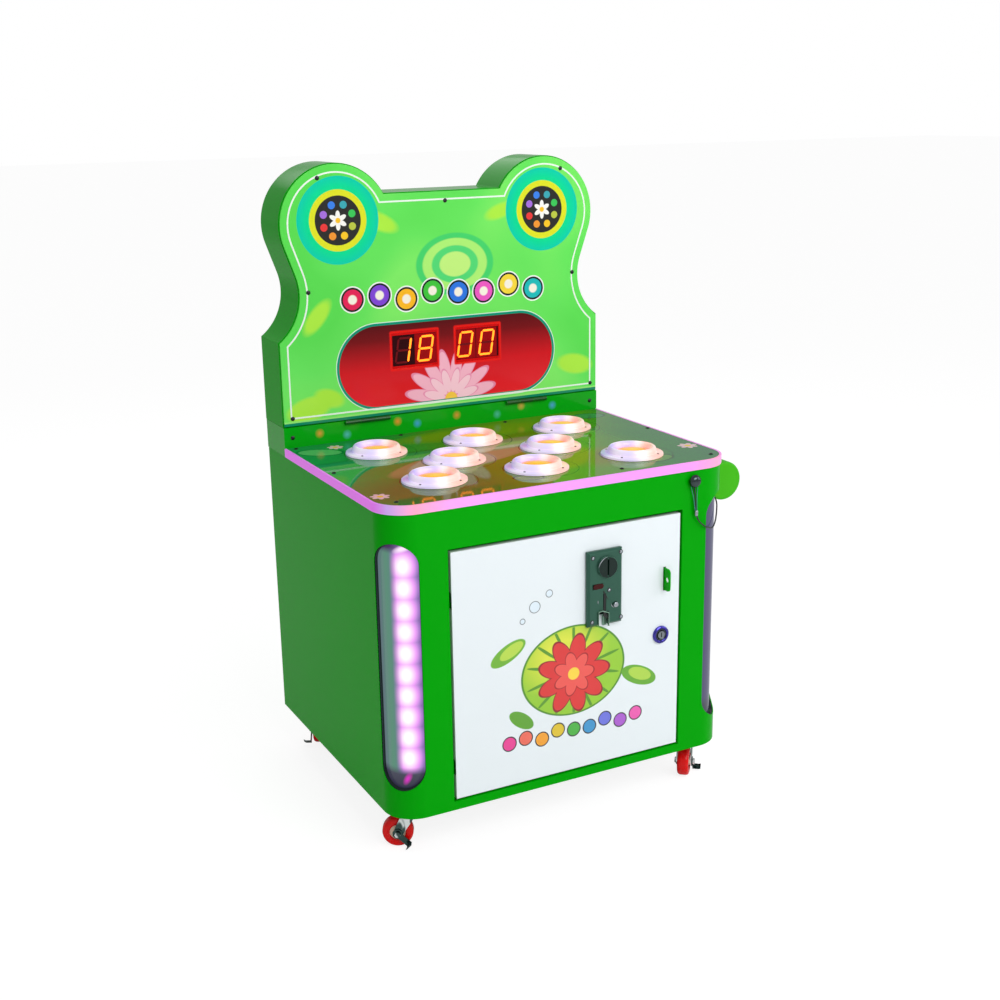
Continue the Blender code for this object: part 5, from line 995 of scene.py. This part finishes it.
hinge_halves = []
for share in (0.16, 0.84):
    height = 0.0887 + 0.4056 * share
    hinge_halves += [
        soften(rod("knuckle", 0.003, (-0.2006, 0.0067, height - 0.020), 0.020, "Z", 24), 0.0002),
        soften(rod("pin", 0.0016, (-0.2006, 0.0067, height - 0.0016), 0.020, "Z", 20), 0.0002),
        block("leaf", (-0.2016, 0.0067, height - 0.0198), (-0.1996, 0.0208, height - 0.0002))]
settle(joined("door_hinge_pins", *hinge_halves), "cabinet", ZINC, "zinc")

# Deck sheet with its eight holes, and the lit strip round it
deck = flat("deck_sheet", [deck_plan(0.0043)] + [ring(at, 0.0433) for at in PAD_SPOTS],
            DECK_LOW, DECK_TOP)
settle(soften(deck, 0.0003, 2, 50), "cabinet", DECK_MAT, "deck_print", "deck_panel")
edge_strip = flat("deck_edge_strip", [band(deck_plan(0), deck_plan(0.004))], DECK_LOW,
                  DECK_TOP + 0.0002)
settle(soften(edge_strip, 0.0006, 2, 50), "cabinet", RIM, "rim_pink", "deck_light_rim")


# Screws: a low dome with a cross recess, made once for each size and copied

def screw_head(name, radius, height):
    head = lathe(name, [(0, height), (radius * 0.45, height * 0.92), (radius * 0.8, height * 0.6),
                        (radius, height * 0.15), (radius, 0), (0, 0)], 24)
    for turn in (20, 110):
        bar = block("cross", (-radius * 0.55, -radius * 0.11, height * 0.45),
                    (radius * 0.55, radius * 0.11, height * 2))
        bar.rotation_euler = (0, 0, math.radians(turn))
        cut(head, apply_place(bar))
    return smooth(head, 30)


def screws(name, body, model, spots, turn=Matrix.Identity(4), mat=BLACK, slot="dark_plastic"):
    settle(joined(name, *[again(model, name, at, turn) for at in spots]), body, mat, slot)


TO_FRONT, TO_REAR = [Matrix.Rotation(math.radians(turn), 4, "X") for turn in (90, -90)]
TO_RIGHT = Matrix.Rotation(math.radians(90), 4, "Z") @ TO_FRONT
panel_screw = screw_head("panel_screw", 0.0038, 0.0018)
plate_screw = screw_head("plate_screw", 0.0025, 0.0014)
pad_screw = screw_head("pad_screw", 0.0020, 0.0011)
screws("deck_screws", "cabinet", panel_screw, [(x, y, DECK_TOP) for x, y in (
    (-0.294, 0.421), (-0.297, 0.236), (-0.279, 0.030), (0.108, 0.024), (0.284, 0.029),
    (0.301, 0.243), (0.107, 0.419), (-0.0985, 0.423))])

# Pads: a clear flange, a lit ring and a sprung button, made once and copied
BUTTON_R = 0.0293
flange_loop = [(0.0396, 0.0046), (0.0440, 0.0044), (0.0500, 0.0038), (0.0515, 0.0030),
               (0.0520, 0.0004), (0.0424, 0.0004), (0.0396, 0.0004)]
ring_loop = [(0.0406, 0.0040), (0.0405, 0.0070), (0.0401, 0.0098), (0.0390, 0.0124),
             (0.0374, 0.0139), (0.0356, 0.0144), (0.0338, 0.0139), (0.0321, 0.0122),
             (0.0306, 0.0096), (0.0298, 0.0062), (0.0297, -0.0060), (0.0395, -0.0060),
             (0.0395, -0.0250), (0.0060, -0.0250), (0.0060, -0.0280), (0.0424, -0.0280),
             (0.0424, 0.0004)]
button_loop = [(0, 0.0086), (0.0080, 0.0084), (0.0160, 0.0078), (0.0220, 0.0069),
               (0.0262, 0.0058), (0.0286, 0.0043), (BUTTON_R, 0.0024), (BUTTON_R, -0.0063),
               (0.0387, -0.0063), (0.0387, -0.0090), (0.0055, -0.0090), (0.0055, -0.0300),
               (0, -0.0300)]
pad_flange = smooth(lathe("pad_flange", flange_loop, 72, closed=True), 40)
pad_ring = smooth(lathe("pad_ring", ring_loop, 72, closed=True), 40)
pad_button = smooth(lathe("pad_button", button_loop, 64), 40)


def store(piece, name, value_at):
    """Keep a value between 0 and 1 on each point of a mesh, from its radius and its turn."""
    kept = piece.data.attributes.new(name, "FLOAT", "POINT")
    for vertex, item in zip(piece.data.vertices, kept.data):
        x, y, _ = vertex.co
        item.value = min(1.0, max(0.0, value_at(math.hypot(x, y), math.atan2(y, x))))


def light_side(far, turn):
    """Painted light: brighter on one side with four soft swells, and painted shade turned over in
    the mouth of the ring.
    """
    side = 0.52 + 0.34 * math.cos(turn + 0.15) + 0.12 * math.sin(4 * turn + 0.4)
    return side - (0.34 * max(0, math.sin(turn + 0.3)) if far < 0.0345 else 0)


store(pad_button, "from_middle", lambda far, turn: far / BUTTON_R)
# Painted light and shade for the flange and the ring, kept on each mesh as a value
store(pad_flange, "light_side", light_side)
store(pad_ring, "light_side", light_side)
for index, (x, y) in enumerate(PAD_SPOTS, 1):
    at, number = (x, y, 0.577), "_%d" % index
    settle(again(pad_flange, "pad_flange" + number, at), "cabinet", FLANGE_MAT, "pad_clear")
    settle(again(pad_ring, "pad_ring" + number, at), "cabinet", RING_MAT, "pad_clear",
           "pad_bezel" + number)
    settle(again(pad_button, "pad_cap" + number, at), "pad" + number, WELL_MAT, "pad_yellow",
           "pad_button" + number)
screws("pad_screws", "cabinet", pad_screw, [
    (x + 0.0450 * math.cos(math.radians(turn)), y + 0.0450 * math.sin(math.radians(turn)),
     0.5811) for x, y in PAD_SPOTS for turn in (-144, -52, 38, 128)])

# Riser across the rear, and the header that folds down over the deck
dressed("riser_box", "riser", "cabinet", RISER_MAT, "green_paint")
screws("riser_screws", "cabinet", panel_screw, [(x, DECK_D, 0.594) for x in (-0.295, 0.295)],
       TO_FRONT)


def header_loop(inset):
    """Header outline in (x, z), drawn in by the inset."""
    half = HEADER_W / 2
    lobe = (HEADER_W * 0.3195, HEADER_Z + HEADER_H * 0.7706)
    waist = (HEADER_W * 0.5890, HEADER_Z + HEADER_H * 0.5111)
    notch = HEADER_Z + HEADER_H * 0.8805 - inset
    lobe_r, waist_r = 0.1002 - inset, 0.0949 + inset
    span = math.hypot(waist[0] - lobe[0], waist[1] - lobe[1])
    heading = math.atan2(lobe[1] - waist[1], lobe[0] - waist[0])
    lean = math.acos((0.1002 + 0.0949) / span)
    shoulder = waist[1] - math.sqrt(waist_r ** 2 - (waist[0] - half + inset) ** 2)
    waist_end = math.degrees(heading + lean)
    waist_start = 360 - math.degrees(math.acos((half - inset - waist[0]) / waist_r))
    lobe_end = 180 - math.degrees(math.asin((notch - lobe[1]) / lobe_r))
    side = [(half - inset, HEADER_Z + inset), (half - inset, shoulder)]
    side += arc(waist, waist_r, waist_start, waist_end, 20)[1:]
    side += arc(lobe, lobe_r, waist_end - 180, lobe_end, 40)
    return side + [(-x, z) for x, z in reversed(side)]


header_wall = pressed("header_wall", [header_loop(0), header_loop(SHEET)], 0.4358, HEADER_REAR,
                      EDGE, 2, 50)
header_back = flat("header_back", [header_loop(0.0007)], 0.5235, 0.5248, "Y")
header_lip = flat("header_lip", [header_loop(0.0007), header_loop(0.014)], 0.4360, 0.4373, "Y")
settle(joined("header_box", header_wall, header_back, header_lip), "header", GREEN,
       "green_paint", "header_shell")
face = pressed("header_face_sheet", [header_loop(0.0018)] + [
    rectangle(x, DISPLAY_Z, 0.0435, 0.031) for x in DISPLAYS.values()], DECK_D, FACE_BACK,
    EDGE, 2, 50)
settle(face, "header", FACE_MAT, "header_print", "header_face")
line = flat("header_white_line", [header_loop(0.0135), header_loop(0.0163)], 0.4322, 0.4326,
            "Y")
settle(line, "header", LINE_MAT, "header_print")
screws("header_screws", "header", panel_screw, [(x, DECK_D, z) for x, z in (
    (-0.228, 1.024), (0.0036, 0.978), (0.233, 1.024), (-0.2535, 0.838), (0.257, 0.838),
    (-0.293, 0.627), (0.296, 0.628))], TO_FRONT)

HINGE_Y, HINGE_Z, KNUCKLE = 0.4287, 0.6100, 0.028
hinge_low, hinge_high = [], []
for sign in (-1, 1):
    start = sign * 0.15748 - 1.5 * KNUCKLE
    for index, half in enumerate((hinge_low, hinge_high, hinge_low)):
        knuckle = rod("knuckle", 0.0035, (start + KNUCKLE * index + 0.0003, HINGE_Y, HINGE_Z),
                      KNUCKLE - 0.0006, "X", 28)
        half.append(soften(knuckle, 0.0003))
    pin = rod("pin", 0.0020, (start - 0.0004, HINGE_Y, HINGE_Z), 3 * KNUCKLE + 0.0008, "X", 24)
    hinge_low.append(soften(pin, 0.0003))
settle(joined("header_hinge_low", *hinge_low), "cabinet", HINGE, "green_paint")
settle(joined("header_hinge_high", *hinge_high), "header", HINGE, "green_paint")

# Score displays: housing, red frame, tiles and seven-bar digits
BARS = {"0": "abcdef", "1": "bc", "8": "abcdefg"}
COUNTS = {"left": "18", "right": "00"}
DIGIT_W, DIGIT_H, BAR_W, BAR_GAP, LEAN = 0.0272, 0.046, 0.0035, 0.0007, 0.170
DIGIT_PITCH = 0.0425
DIGIT_SHIFT = {"left": 0.0000, "right": -0.0030}
# Ends of each bar as (x, z), in half widths and half heights of the digit
BAR_ENDS = {"a": (-1, 1, 1, 1), "b": (1, 0, 1, 1), "c": (1, -1, 1, 0), "d": (-1, -1, 1, -1),
            "e": (-1, -1, -1, 0), "f": (-1, 0, -1, 1), "g": (-1, 0, 1, 0)}


def bar_loop(letter, x, z):
    """One pointed bar of a slanted digit, in (x, z)."""
    half = BAR_W / 2
    wide, high = DIGIT_W / 2 - half, DIGIT_H / 2 - half
    x0, z0, x1, z1 = [end * size for end, size in zip(BAR_ENDS[letter],
                                                      (wide, high, wide, high))]
    level = z0 == z1
    low, far, middle = (x0, x1, z0) if level else (z0, z1, x0)
    points = [(low + BAR_GAP, 0), (low + half + BAR_GAP, -half), (far - half - BAR_GAP, -half),
              (far - BAR_GAP, 0), (far - half - BAR_GAP, half), (low + half + BAR_GAP, half)]
    if level:
        points = [(u, middle + v) for u, v in points]
    else:
        points = [(middle - v, u) for u, v in points]
    return [(x + u + v * LEAN, z + v) for u, v in points]


for side, x in DISPLAYS.items():
    housing = block("display_housing_" + side, (x - 0.0495, FACE_BACK + 0.0003, DISPLAY_Z - 0.037),
                    (x + 0.0495, 0.4518, DISPLAY_Z + 0.037))
    cut(housing, block("room", (x - 0.040, 0.43, DISPLAY_Z - 0.0275),
                       (x + 0.040, 0.4432, DISPLAY_Z + 0.0275)))
    settle(soften(housing, EDGE), "header", RED_DARK, "display_red", "digit_display_" + side)
    frame_ring = pressed("display_frame_" + side, [
        rectangle(x, DISPLAY_Z, 0.0433, 0.0308), rectangle(x, DISPLAY_Z, 0.0422, 0.0270)],
        0.4329, 0.4362, 0.0003)
    settle(frame_ring, "header", RED_FRAME, "display_red")
    tray = pressed("display_tray_" + side, [rectangle(x, DISPLAY_Z, 0.0421, 0.0269)], 0.4345,
                   0.4432, 0.0003)
    settle(tray, "header", TILE_DARK, "display_red")
    lit, unlit = [], []
    for index, digit in enumerate(COUNTS[side]):
        digit_x = x + DIGIT_SHIFT[side] + (index - 0.5) * DIGIT_PITCH
        tile = pressed("digit_tile_%s_%d" % (side, index), [
            rectangle(digit_x, DISPLAY_Z, DIGIT_PITCH / 2 - 0.0005, 0.0262)], 0.4339, 0.4346,
            0.0002)
        settle(tile, "header", TILE_DARK if digit == "1" else TILE_LIT, "display_red")
        for letter in BAR_ENDS:
            (lit if letter in BARS[digit] else unlit).append(
                bar_loop(letter, digit_x, DISPLAY_Z))
    settle(flat("lit_bars_" + side, lit, 0.4334, 0.4341, "Y"), "header", LIT, "display_red")
    settle(flat("unlit_bars_" + side, unlit, 0.4336, 0.4341, "Y"), "header", UNLIT,
           "display_red")

# Door: a shallow pan with its return, hinge halves, and what is set in it
dressed("door_panel", "door_pan", "door", DOOR_MAT, "door_white", 0.0006, 3)
plate = soften(refined("coin_plate", "coin_plate_casting", 0), EDGE, 2, 25)
settle(plate, "door", COIN_MAT, "coin_metal", "coin_plate")
DIAL_X, DIAL_Z, DIAL_FRONT = 0.0275 + 0.0645 * 0.540, 0.3318 + 0.1256 * 0.778, -0.0105
dial_ring = front_lathe("coin_dial_ring", [
    (0.0174, 0.0006), (0.0181, 0.0010), (0.0183, 0.0022), (0.0178, 0.0034), (0.0170, 0.0040),
    (0.0162, 0.0036), (0.0158, 0.0006)], 64, (DIAL_X, -0.0068, DIAL_Z))
settle(dial_ring, "door", COIN_MAT, "coin_metal")
dial_face = pressed("coin_dial_face", [ring((DIAL_X, DIAL_Z), 0.0168, 64), rounded(
    DIAL_X - 0.0015, DIAL_Z - 0.0148, DIAL_X + 0.0015, DIAL_Z + 0.0148, 0.0006, 3)],
    DIAL_FRONT - 0.0004, DIAL_FRONT + 0.0006, 0.0002)
settle(dial_face, "door", DIAL_MAT, "coin_metal")


def crescent(name, centre, radius, first, last, wide, y):
    """Thin bright sickle standing just off the plate, a painted highlight where the plate shows a
    glint.
    """
    points = arc(centre, radius, first, last, 20)
    back = []
    for index, (x, z) in enumerate(points):
        keep = 1 - wide / radius * math.sin(math.pi * index / 20)
        back.append((centre[0] + (x - centre[0]) * keep, centre[1] + (z - centre[1]) * keep))
    return flat(name, [points + list(reversed(back))[1:-1]], y - 0.0004, y + 0.0002, "Y")


# Painted highlights: bright chrome sickles on the coin plate where glints show
glints = [
    crescent("glint_dial", (DIAL_X, DIAL_Z), 0.0182, 96, 176, 0.0016, DIAL_FRONT - 0.0002),
    crescent("glint_low", (0.0600, 0.3735), 0.0150, 168, 196, 0.0011, -0.0070),
    crescent("glint_push", (0.0778, 0.3660), 0.0078, 172, 262, 0.0010, -0.0070)]
settle(joined("coin_glint_lips", *glints), "door", CHROME, "chrome_bright")
plate_spots = ((0.0362, 0.4475), (0.0878, 0.4505), (0.0347, 0.3405), (0.0887, 0.3406),
               (0.0663, 0.3900))
# Painted shade: a dark disc round each plate screw stands for the shade in its recess
recess_shades = [rod("screw_recess_shade", 0.0037, (x, -0.0074, z), 0.0010, "Y", 32) for x, z in plate_spots]
settle(soften(joined("coin_screw_recess_shades", *recess_shades), 0.0002), "door", DARK, "dark_plastic")
screws("coin_plate_screws", "door", plate_screw, [(x, -0.0075, z) for x, z in plate_spots],
       TO_FRONT, CHROME, "chrome_bright")
CUP_X0, CUP_X1, CUP_Z0, CUP_Z1 = 0.0464, 0.0654, 0.3340, 0.3568
cup_wall = flat("coin_cup", [[
    (CUP_X0 - 0.0012, CUP_Z0), (CUP_X0, CUP_Z0), (CUP_X0, CUP_Z1 - 0.0010),
    (CUP_X0 + 0.0060, CUP_Z1 - 0.0004), (CUP_X1 - 0.0012, CUP_Z1 - 0.0048),
    (CUP_X1 - 0.0012, CUP_Z0 - 0.0040), (CUP_X1, CUP_Z0 - 0.0040), (CUP_X1, CUP_Z1 - 0.0036),
    (CUP_X0 + 0.0072, CUP_Z1 + 0.0016), (CUP_X0 - 0.0012, CUP_Z1 + 0.0002)]],
    -0.0098, -0.0060, "Y")
ribs = [block("cup_rib", (x, -0.0030, 0.3300), (x + 0.0014, 0.0017, 0.3500))
        for x in (0.0580, 0.0604, 0.0628)]
settle(soften(joined("coin_cup_wall", cup_wall, *ribs), 0.0003), "door", COIN_EDGE,
       "coin_metal")
sight = pressed("coin_sight", [rounded(0.0372, 0.3945, 0.0562, 0.4030, 0.0040, 8)], -0.0071,
                -0.0058, EDGE)
settle(sight, "door", RED_DARK, "display_red")
# Painted shade: a dark sheet for the shade inside the coin slot and the shadow in its mouth
chute = pressed("coin_chute_shade", [[
    (0.0556, 0.3480), (0.0644, 0.3412), (0.0644, 0.3470), (0.0600, 0.3530), (0.0600, 0.3800),
    (0.0640, 0.3740), (0.0646, 0.3745), (0.0566, 0.3905), (0.0548, 0.3890), (0.0562, 0.3860)]],
    -0.0074, -0.0062, 0.0002)
settle(chute, "door", SLOT_SHADE, "dark_plastic")
dressed("coin_mechanism", "coin_mechanism_case", "door", DARK, "dark_plastic", 0.0005)
dressed("coin_return_lever", "coin_return_push", "coin_return", CHROME, "chrome_bright")

lock_at = (0.1715, FRONT, 0.2911)
lock_ring = front_lathe("lock_ring", [
    (0.0104, 0.0030), (0.0114, 0.0038), (0.0132, 0.0040), (0.0146, 0.0030), (0.0150, 0.0010),
    (0.0150, 0.0000), (0.0105, 0.0000), (0.0105, -0.0200), (0.0104, -0.0200)], 64, lock_at,
    angle=35)
settle(lock_ring, "door", LOCK_CHROME, "chrome_bright", "lock_body")
collar = front_lathe("lock_collar", [
    (0.0068, 0.0016), (0.0082, 0.0026), (0.0096, 0.0024), (0.0103, 0.0010), (0.0103, -0.0200),
    (0.0068, -0.0200)], 64, lock_at, angle=35)
settle(collar, "door", LOCK_FACE, "chrome_bright")
dressed("lock_cylinder", "lock_plug", "lock_cylinder", DARK_CHROME, "chrome_bright", 0.0003)

# Lit corner windows: a smooth lens sunk behind each opening
for side, sign in SIDES.items():
    lens = flat("corner_lens_" + side + "_sheet", [
        arc((0, 0), CORNER - 0.0021, 219, 321, 24)
        + arc((0, 0), CORNER - 0.0105, 321, 219, 24)], 0.1107, 0.5237)
    recess = flat("recess", [arc((0, 0), 0.070, 210, 330, 24)
                             + arc((0, 0), CORNER - 0.0075, 330, 210, 24)], 0.09, 0.54)
    opening = flat("opening", [slot_loop(0.069, WINDOW_LOW + 0.0015, WINDOW_HIGH - 0.0015)],
                   -0.08, -0.01, "Y")
    cut(lens, cut(recess, opening, operation="INTERSECT"))
    settle(apply_place(soften(lens, EDGE, 2, 50), CORNERS[sign]), "cabinet",
           lens_material("lens_" + side, sign), "lens", "corner_lens_" + side)


# Casters: wheel, fork and brake, made once and set at each heading

def mirrored(half):
    """Profile of a wheel from its outer half, as (radius, height)."""
    return half + [(r, -z) for r, z in reversed(half)]


tyre = smooth(lathe("tyre", mirrored([
    (0.0128, 0.0088), (0.0150, 0.0100), (0.0205, 0.0100), (0.0228, 0.0092), (0.0243, 0.0074),
    (0.0250, 0.0045)]), 64, closed=True, axis="Y"), 40)
hub = smooth(lathe("hub", mirrored([
    (0.0034, 0.0112), (0.0062, 0.0112), (0.0070, 0.0098), (0.0074, 0.0074), (0.0120, 0.0070),
    (0.0140, 0.0082), (0.0148, 0.0094)]), 48, closed=True, axis="Y"), 40)
AXLE_TRAIL, AXLE_Z = 0.018, 0.025
for corner, x, y, heading in (("fl", -0.266, 0.057, 152.6), ("fr", 0.266, 0.057, 228.2),
                              ("rl", -0.266, 0.4685, 62.6), ("rr", 0.266, 0.4685, 100.0)):
    turn = Matrix.Rotation(math.radians(heading), 4, "Z")
    axle = Vector((x, y, AXLE_Z)) + turn @ Vector((AXLE_TRAIL, 0, 0))
    settle(again(tyre, "tyre_" + corner, axle, turn), "wheel_" + corner, TYRE, "wheel_red",
           "caster_wheel_" + corner)
    settle(again(hub, "wheel_hub_" + corner, axle, turn), "wheel_" + corner, HUB, "wheel_red")
    dressed("caster_fork_" + corner, "fork_" + corner, "caster_" + corner, CASTER_CHROME,
            "caster_chrome")
    dressed("caster_brake_" + corner, "brake_pedal_" + corner, "brake_" + corner,
            PEDAL_CHROME, "zinc", 0.0003)

# Mallet in its holder
MALLET = Vector((0.346, 0.1282, 0.5123))
mallet_head = lathe("mallet_drum", mirrored([
    (0, 0.0560), (0.0235, 0.0560), (0.0262, 0.0557), (0.0290, 0.0560), (0.0310, 0.0556),
    (0.0326, 0.0545), (0.0334, 0.0525), (0.0335, 0.0500)]), 96, axis="Y", at=MALLET)
cut(mallet_head, rod("socket", 0.0128, MALLET - Vector((0, 0, 0.05)), 0.0625, "Z", 48))
settle(smooth(mallet_head, 30), "mallet", FOAM, "mallet_foam", "mallet_head")
handle = lathe("mallet_grip", [
    (0, 0.0122), (0.0112, 0.0122), (0.0125, 0.0110), (0.0125, -0.0350), (0.0118, -0.0700),
    (0.0108, -0.1180), (0.0112, -0.1250), (0.0129, -0.1290), (0.0138, -0.1360),
    (0.0140, -0.1450), (0.0136, -0.1560), (0.0132, -0.1760), (0.0134, -0.1900),
    (0.0140, -0.2040), (0.0138, -0.2100), (0.0126, -0.2140), (0.0100, -0.2150),
    (0, -0.2150)], 48, at=MALLET)
settle(smooth(handle, 40), "mallet", GRIP, "mallet_plastic", "mallet_handle")
dressed("mallet_holder", "holder_bracket", "cabinet", GREEN, "green_paint", 0.0006, 2, 30)
screws("holder_screws", "cabinet", panel_screw, [(0.3124, y, 0.446) for y in (0.1102, 0.1462)],
       TO_RIGHT)

# Tether anchor: a dome on a neck, two wire legs and a crimped ferrule
dome = front_lathe("tether_dome", [
    (0, 0.0120), (0.0035, 0.0118), (0.0068, 0.0108), (0.0092, 0.0088), (0.0105, 0.0062),
    (0.0108, 0.0045), (0.0106, 0.0040), (0.0045, 0.0040), (0.0045, 0.0000), (0.0030, 0.0000),
    (0.0030, -0.0018), (0.0057, -0.0018), (0.0057, -0.0050), (0, -0.0050)], 56,
    (0.231, FRONT, 0.5453), closed=False)
settle(dome, "cabinet", ANCHOR, "chrome_bright", "tether_anchor")
for side, sign in SIDES.items():
    leg = tube("wire_leg_" + side, smooth_path([
        (0.231 + sign * 0.0052, 0.0000, 0.5453), (0.2315 + sign * 0.0060, -0.0006, 0.5360),
        (0.2325 + sign * 0.0036, -0.0022, 0.5180), (0.2335 + sign * 0.0016, -0.0036, 0.4960)],
        6), 0.0007, 3)
    settle(leg, "cabinet", LEG, "wire_sheath")
ferrule = lathe("ferrule", [
    (0.0013, 0.0045), (0.0026, 0.0045), (0.0032, 0.0038), (0.0033, 0.0020), (0.0030, 0.0000),
    (0.0033, -0.0020), (0.0032, -0.0038), (0.0026, -0.0045), (0.0013, -0.0045)], 32,
    closed=True, at=(0.2340, -0.0036, 0.4915))
settle(smooth(ferrule, 40), "cabinet", CHROME, "chrome_bright")
screws("back_screws", "cabinet", panel_screw, [(x, HEADER_REAR, z) for x, z in (
    (-0.285, 0.095), (0.285, 0.095), (-0.285, 0.300), (0.285, 0.300), (-0.285, 0.520),
    (0.285, 0.520), (0.0, 0.095), (0.0, 0.520))], TO_REAR)

# Back, base and what is inside: the solids' own shapes with rounded edges
for node, mat, slot_name in (
        ("back_panel", GREEN, "green_paint"), ("base_panel", ZINC, "zinc"),
        ("cash_box", ZINC, "zinc"), ("power_supply", ZINC, "zinc"),
        ("power_inlet", DARK, "dark_plastic"), ("speaker", DARK, "dark_plastic"),
        ("control_board", BOARD, "board"), ("led_strip_left", LED_MAT, "light_strip"),
        ("led_strip_right", LED_MAT, "light_strip")):
    dressed(node, node + "_skin", "cabinet", mat, slot_name, 0.0003)
dressed("power_rocker", "rocker_key", "power_rocker", DARK, "dark_plastic", 0.0005)
drop(panel_screw, plate_screw, pad_screw, pad_flange, pad_ring, pad_button, tyre, hub)

# Floor, lights and the pale surroundings
bpy.ops.object.select_all(action="DESELECT")
bpy.ops.mesh.primitive_plane_add(size=60, location=(0, 0, 0))
floor = fresh("studio_floor")
floor_mat = bpy.data.materials.new("studio_floor")
floor_mat.use_nodes = True
tree = floor_mat.node_tree
shader = tree.nodes["Principled BSDF"]
shader.inputs["Base Color"].default_value = (0.9, 0.9, 0.9, 1)
shader.inputs["Roughness"].default_value = 0.6
rays = tree.nodes.new("ShaderNodeLightPath").outputs
lit_floor = wired(tree, "ShaderNodeEmission", Strength=1.18)
floor_look = wired(tree, "ShaderNodeMixShader", in0=Wire(rays["Is Camera Ray"]) * 0.72,
                   in1=Wire(shader.outputs[0]), in2=Wire(lit_floor.outputs[0]))
tree.links.new(floor_look.outputs[0], tree.nodes["Material Output"].inputs["Surface"])
floor.data.materials.append(floor_mat)

for name, size, power, at, aim_z in (
        ("key_light", (2.2, 1.6), 50, (0.4, -2.6, 2.4), 0.5),
        ("fill_light", (1.6, 2.0), 18, (2.6, -1.4, 1.6), 0.5),
        ("side_light", (1.4, 2.0), 0.6, (-2.8, 0.2, 1.6), 0.5),
        ("rear_light", (2.4, 1.2), 12, (0.3, 2.4, 2.4), 0.6)):
    light = bpy.data.lights.new(name, "AREA")
    light.shape = "RECTANGLE"
    light.size, light.size_y = size
    light.energy = power
    lamp = linked(name, light)
    lamp.location = at
    lamp.rotation_euler = (Vector((0, 0, aim_z)) - Vector(at)).to_track_quat("-Z", "Y").to_euler()

world = bpy.data.worlds.new("studio")
bpy.context.scene.world = world
world.use_nodes = True
tree = world.node_tree
background = tree.nodes["Background"]
background.inputs["Color"].default_value = (1, 1, 1, 1)
rays = {out.name: Wire(out) for out in tree.nodes.new("ShaderNodeLightPath").outputs}
seen = rays["Is Camera Ray"].to("MAXIMUM", rays["Is Transmission Ray"])
feed(background.inputs["Strength"],
     ranged(seen.to("MAXIMUM", rays["Is Glossy Ray"] * 0.1), 0.0, 1.0, 0.48, 1.0))

bpy.context.scene.view_settings.view_transform = "Standard"
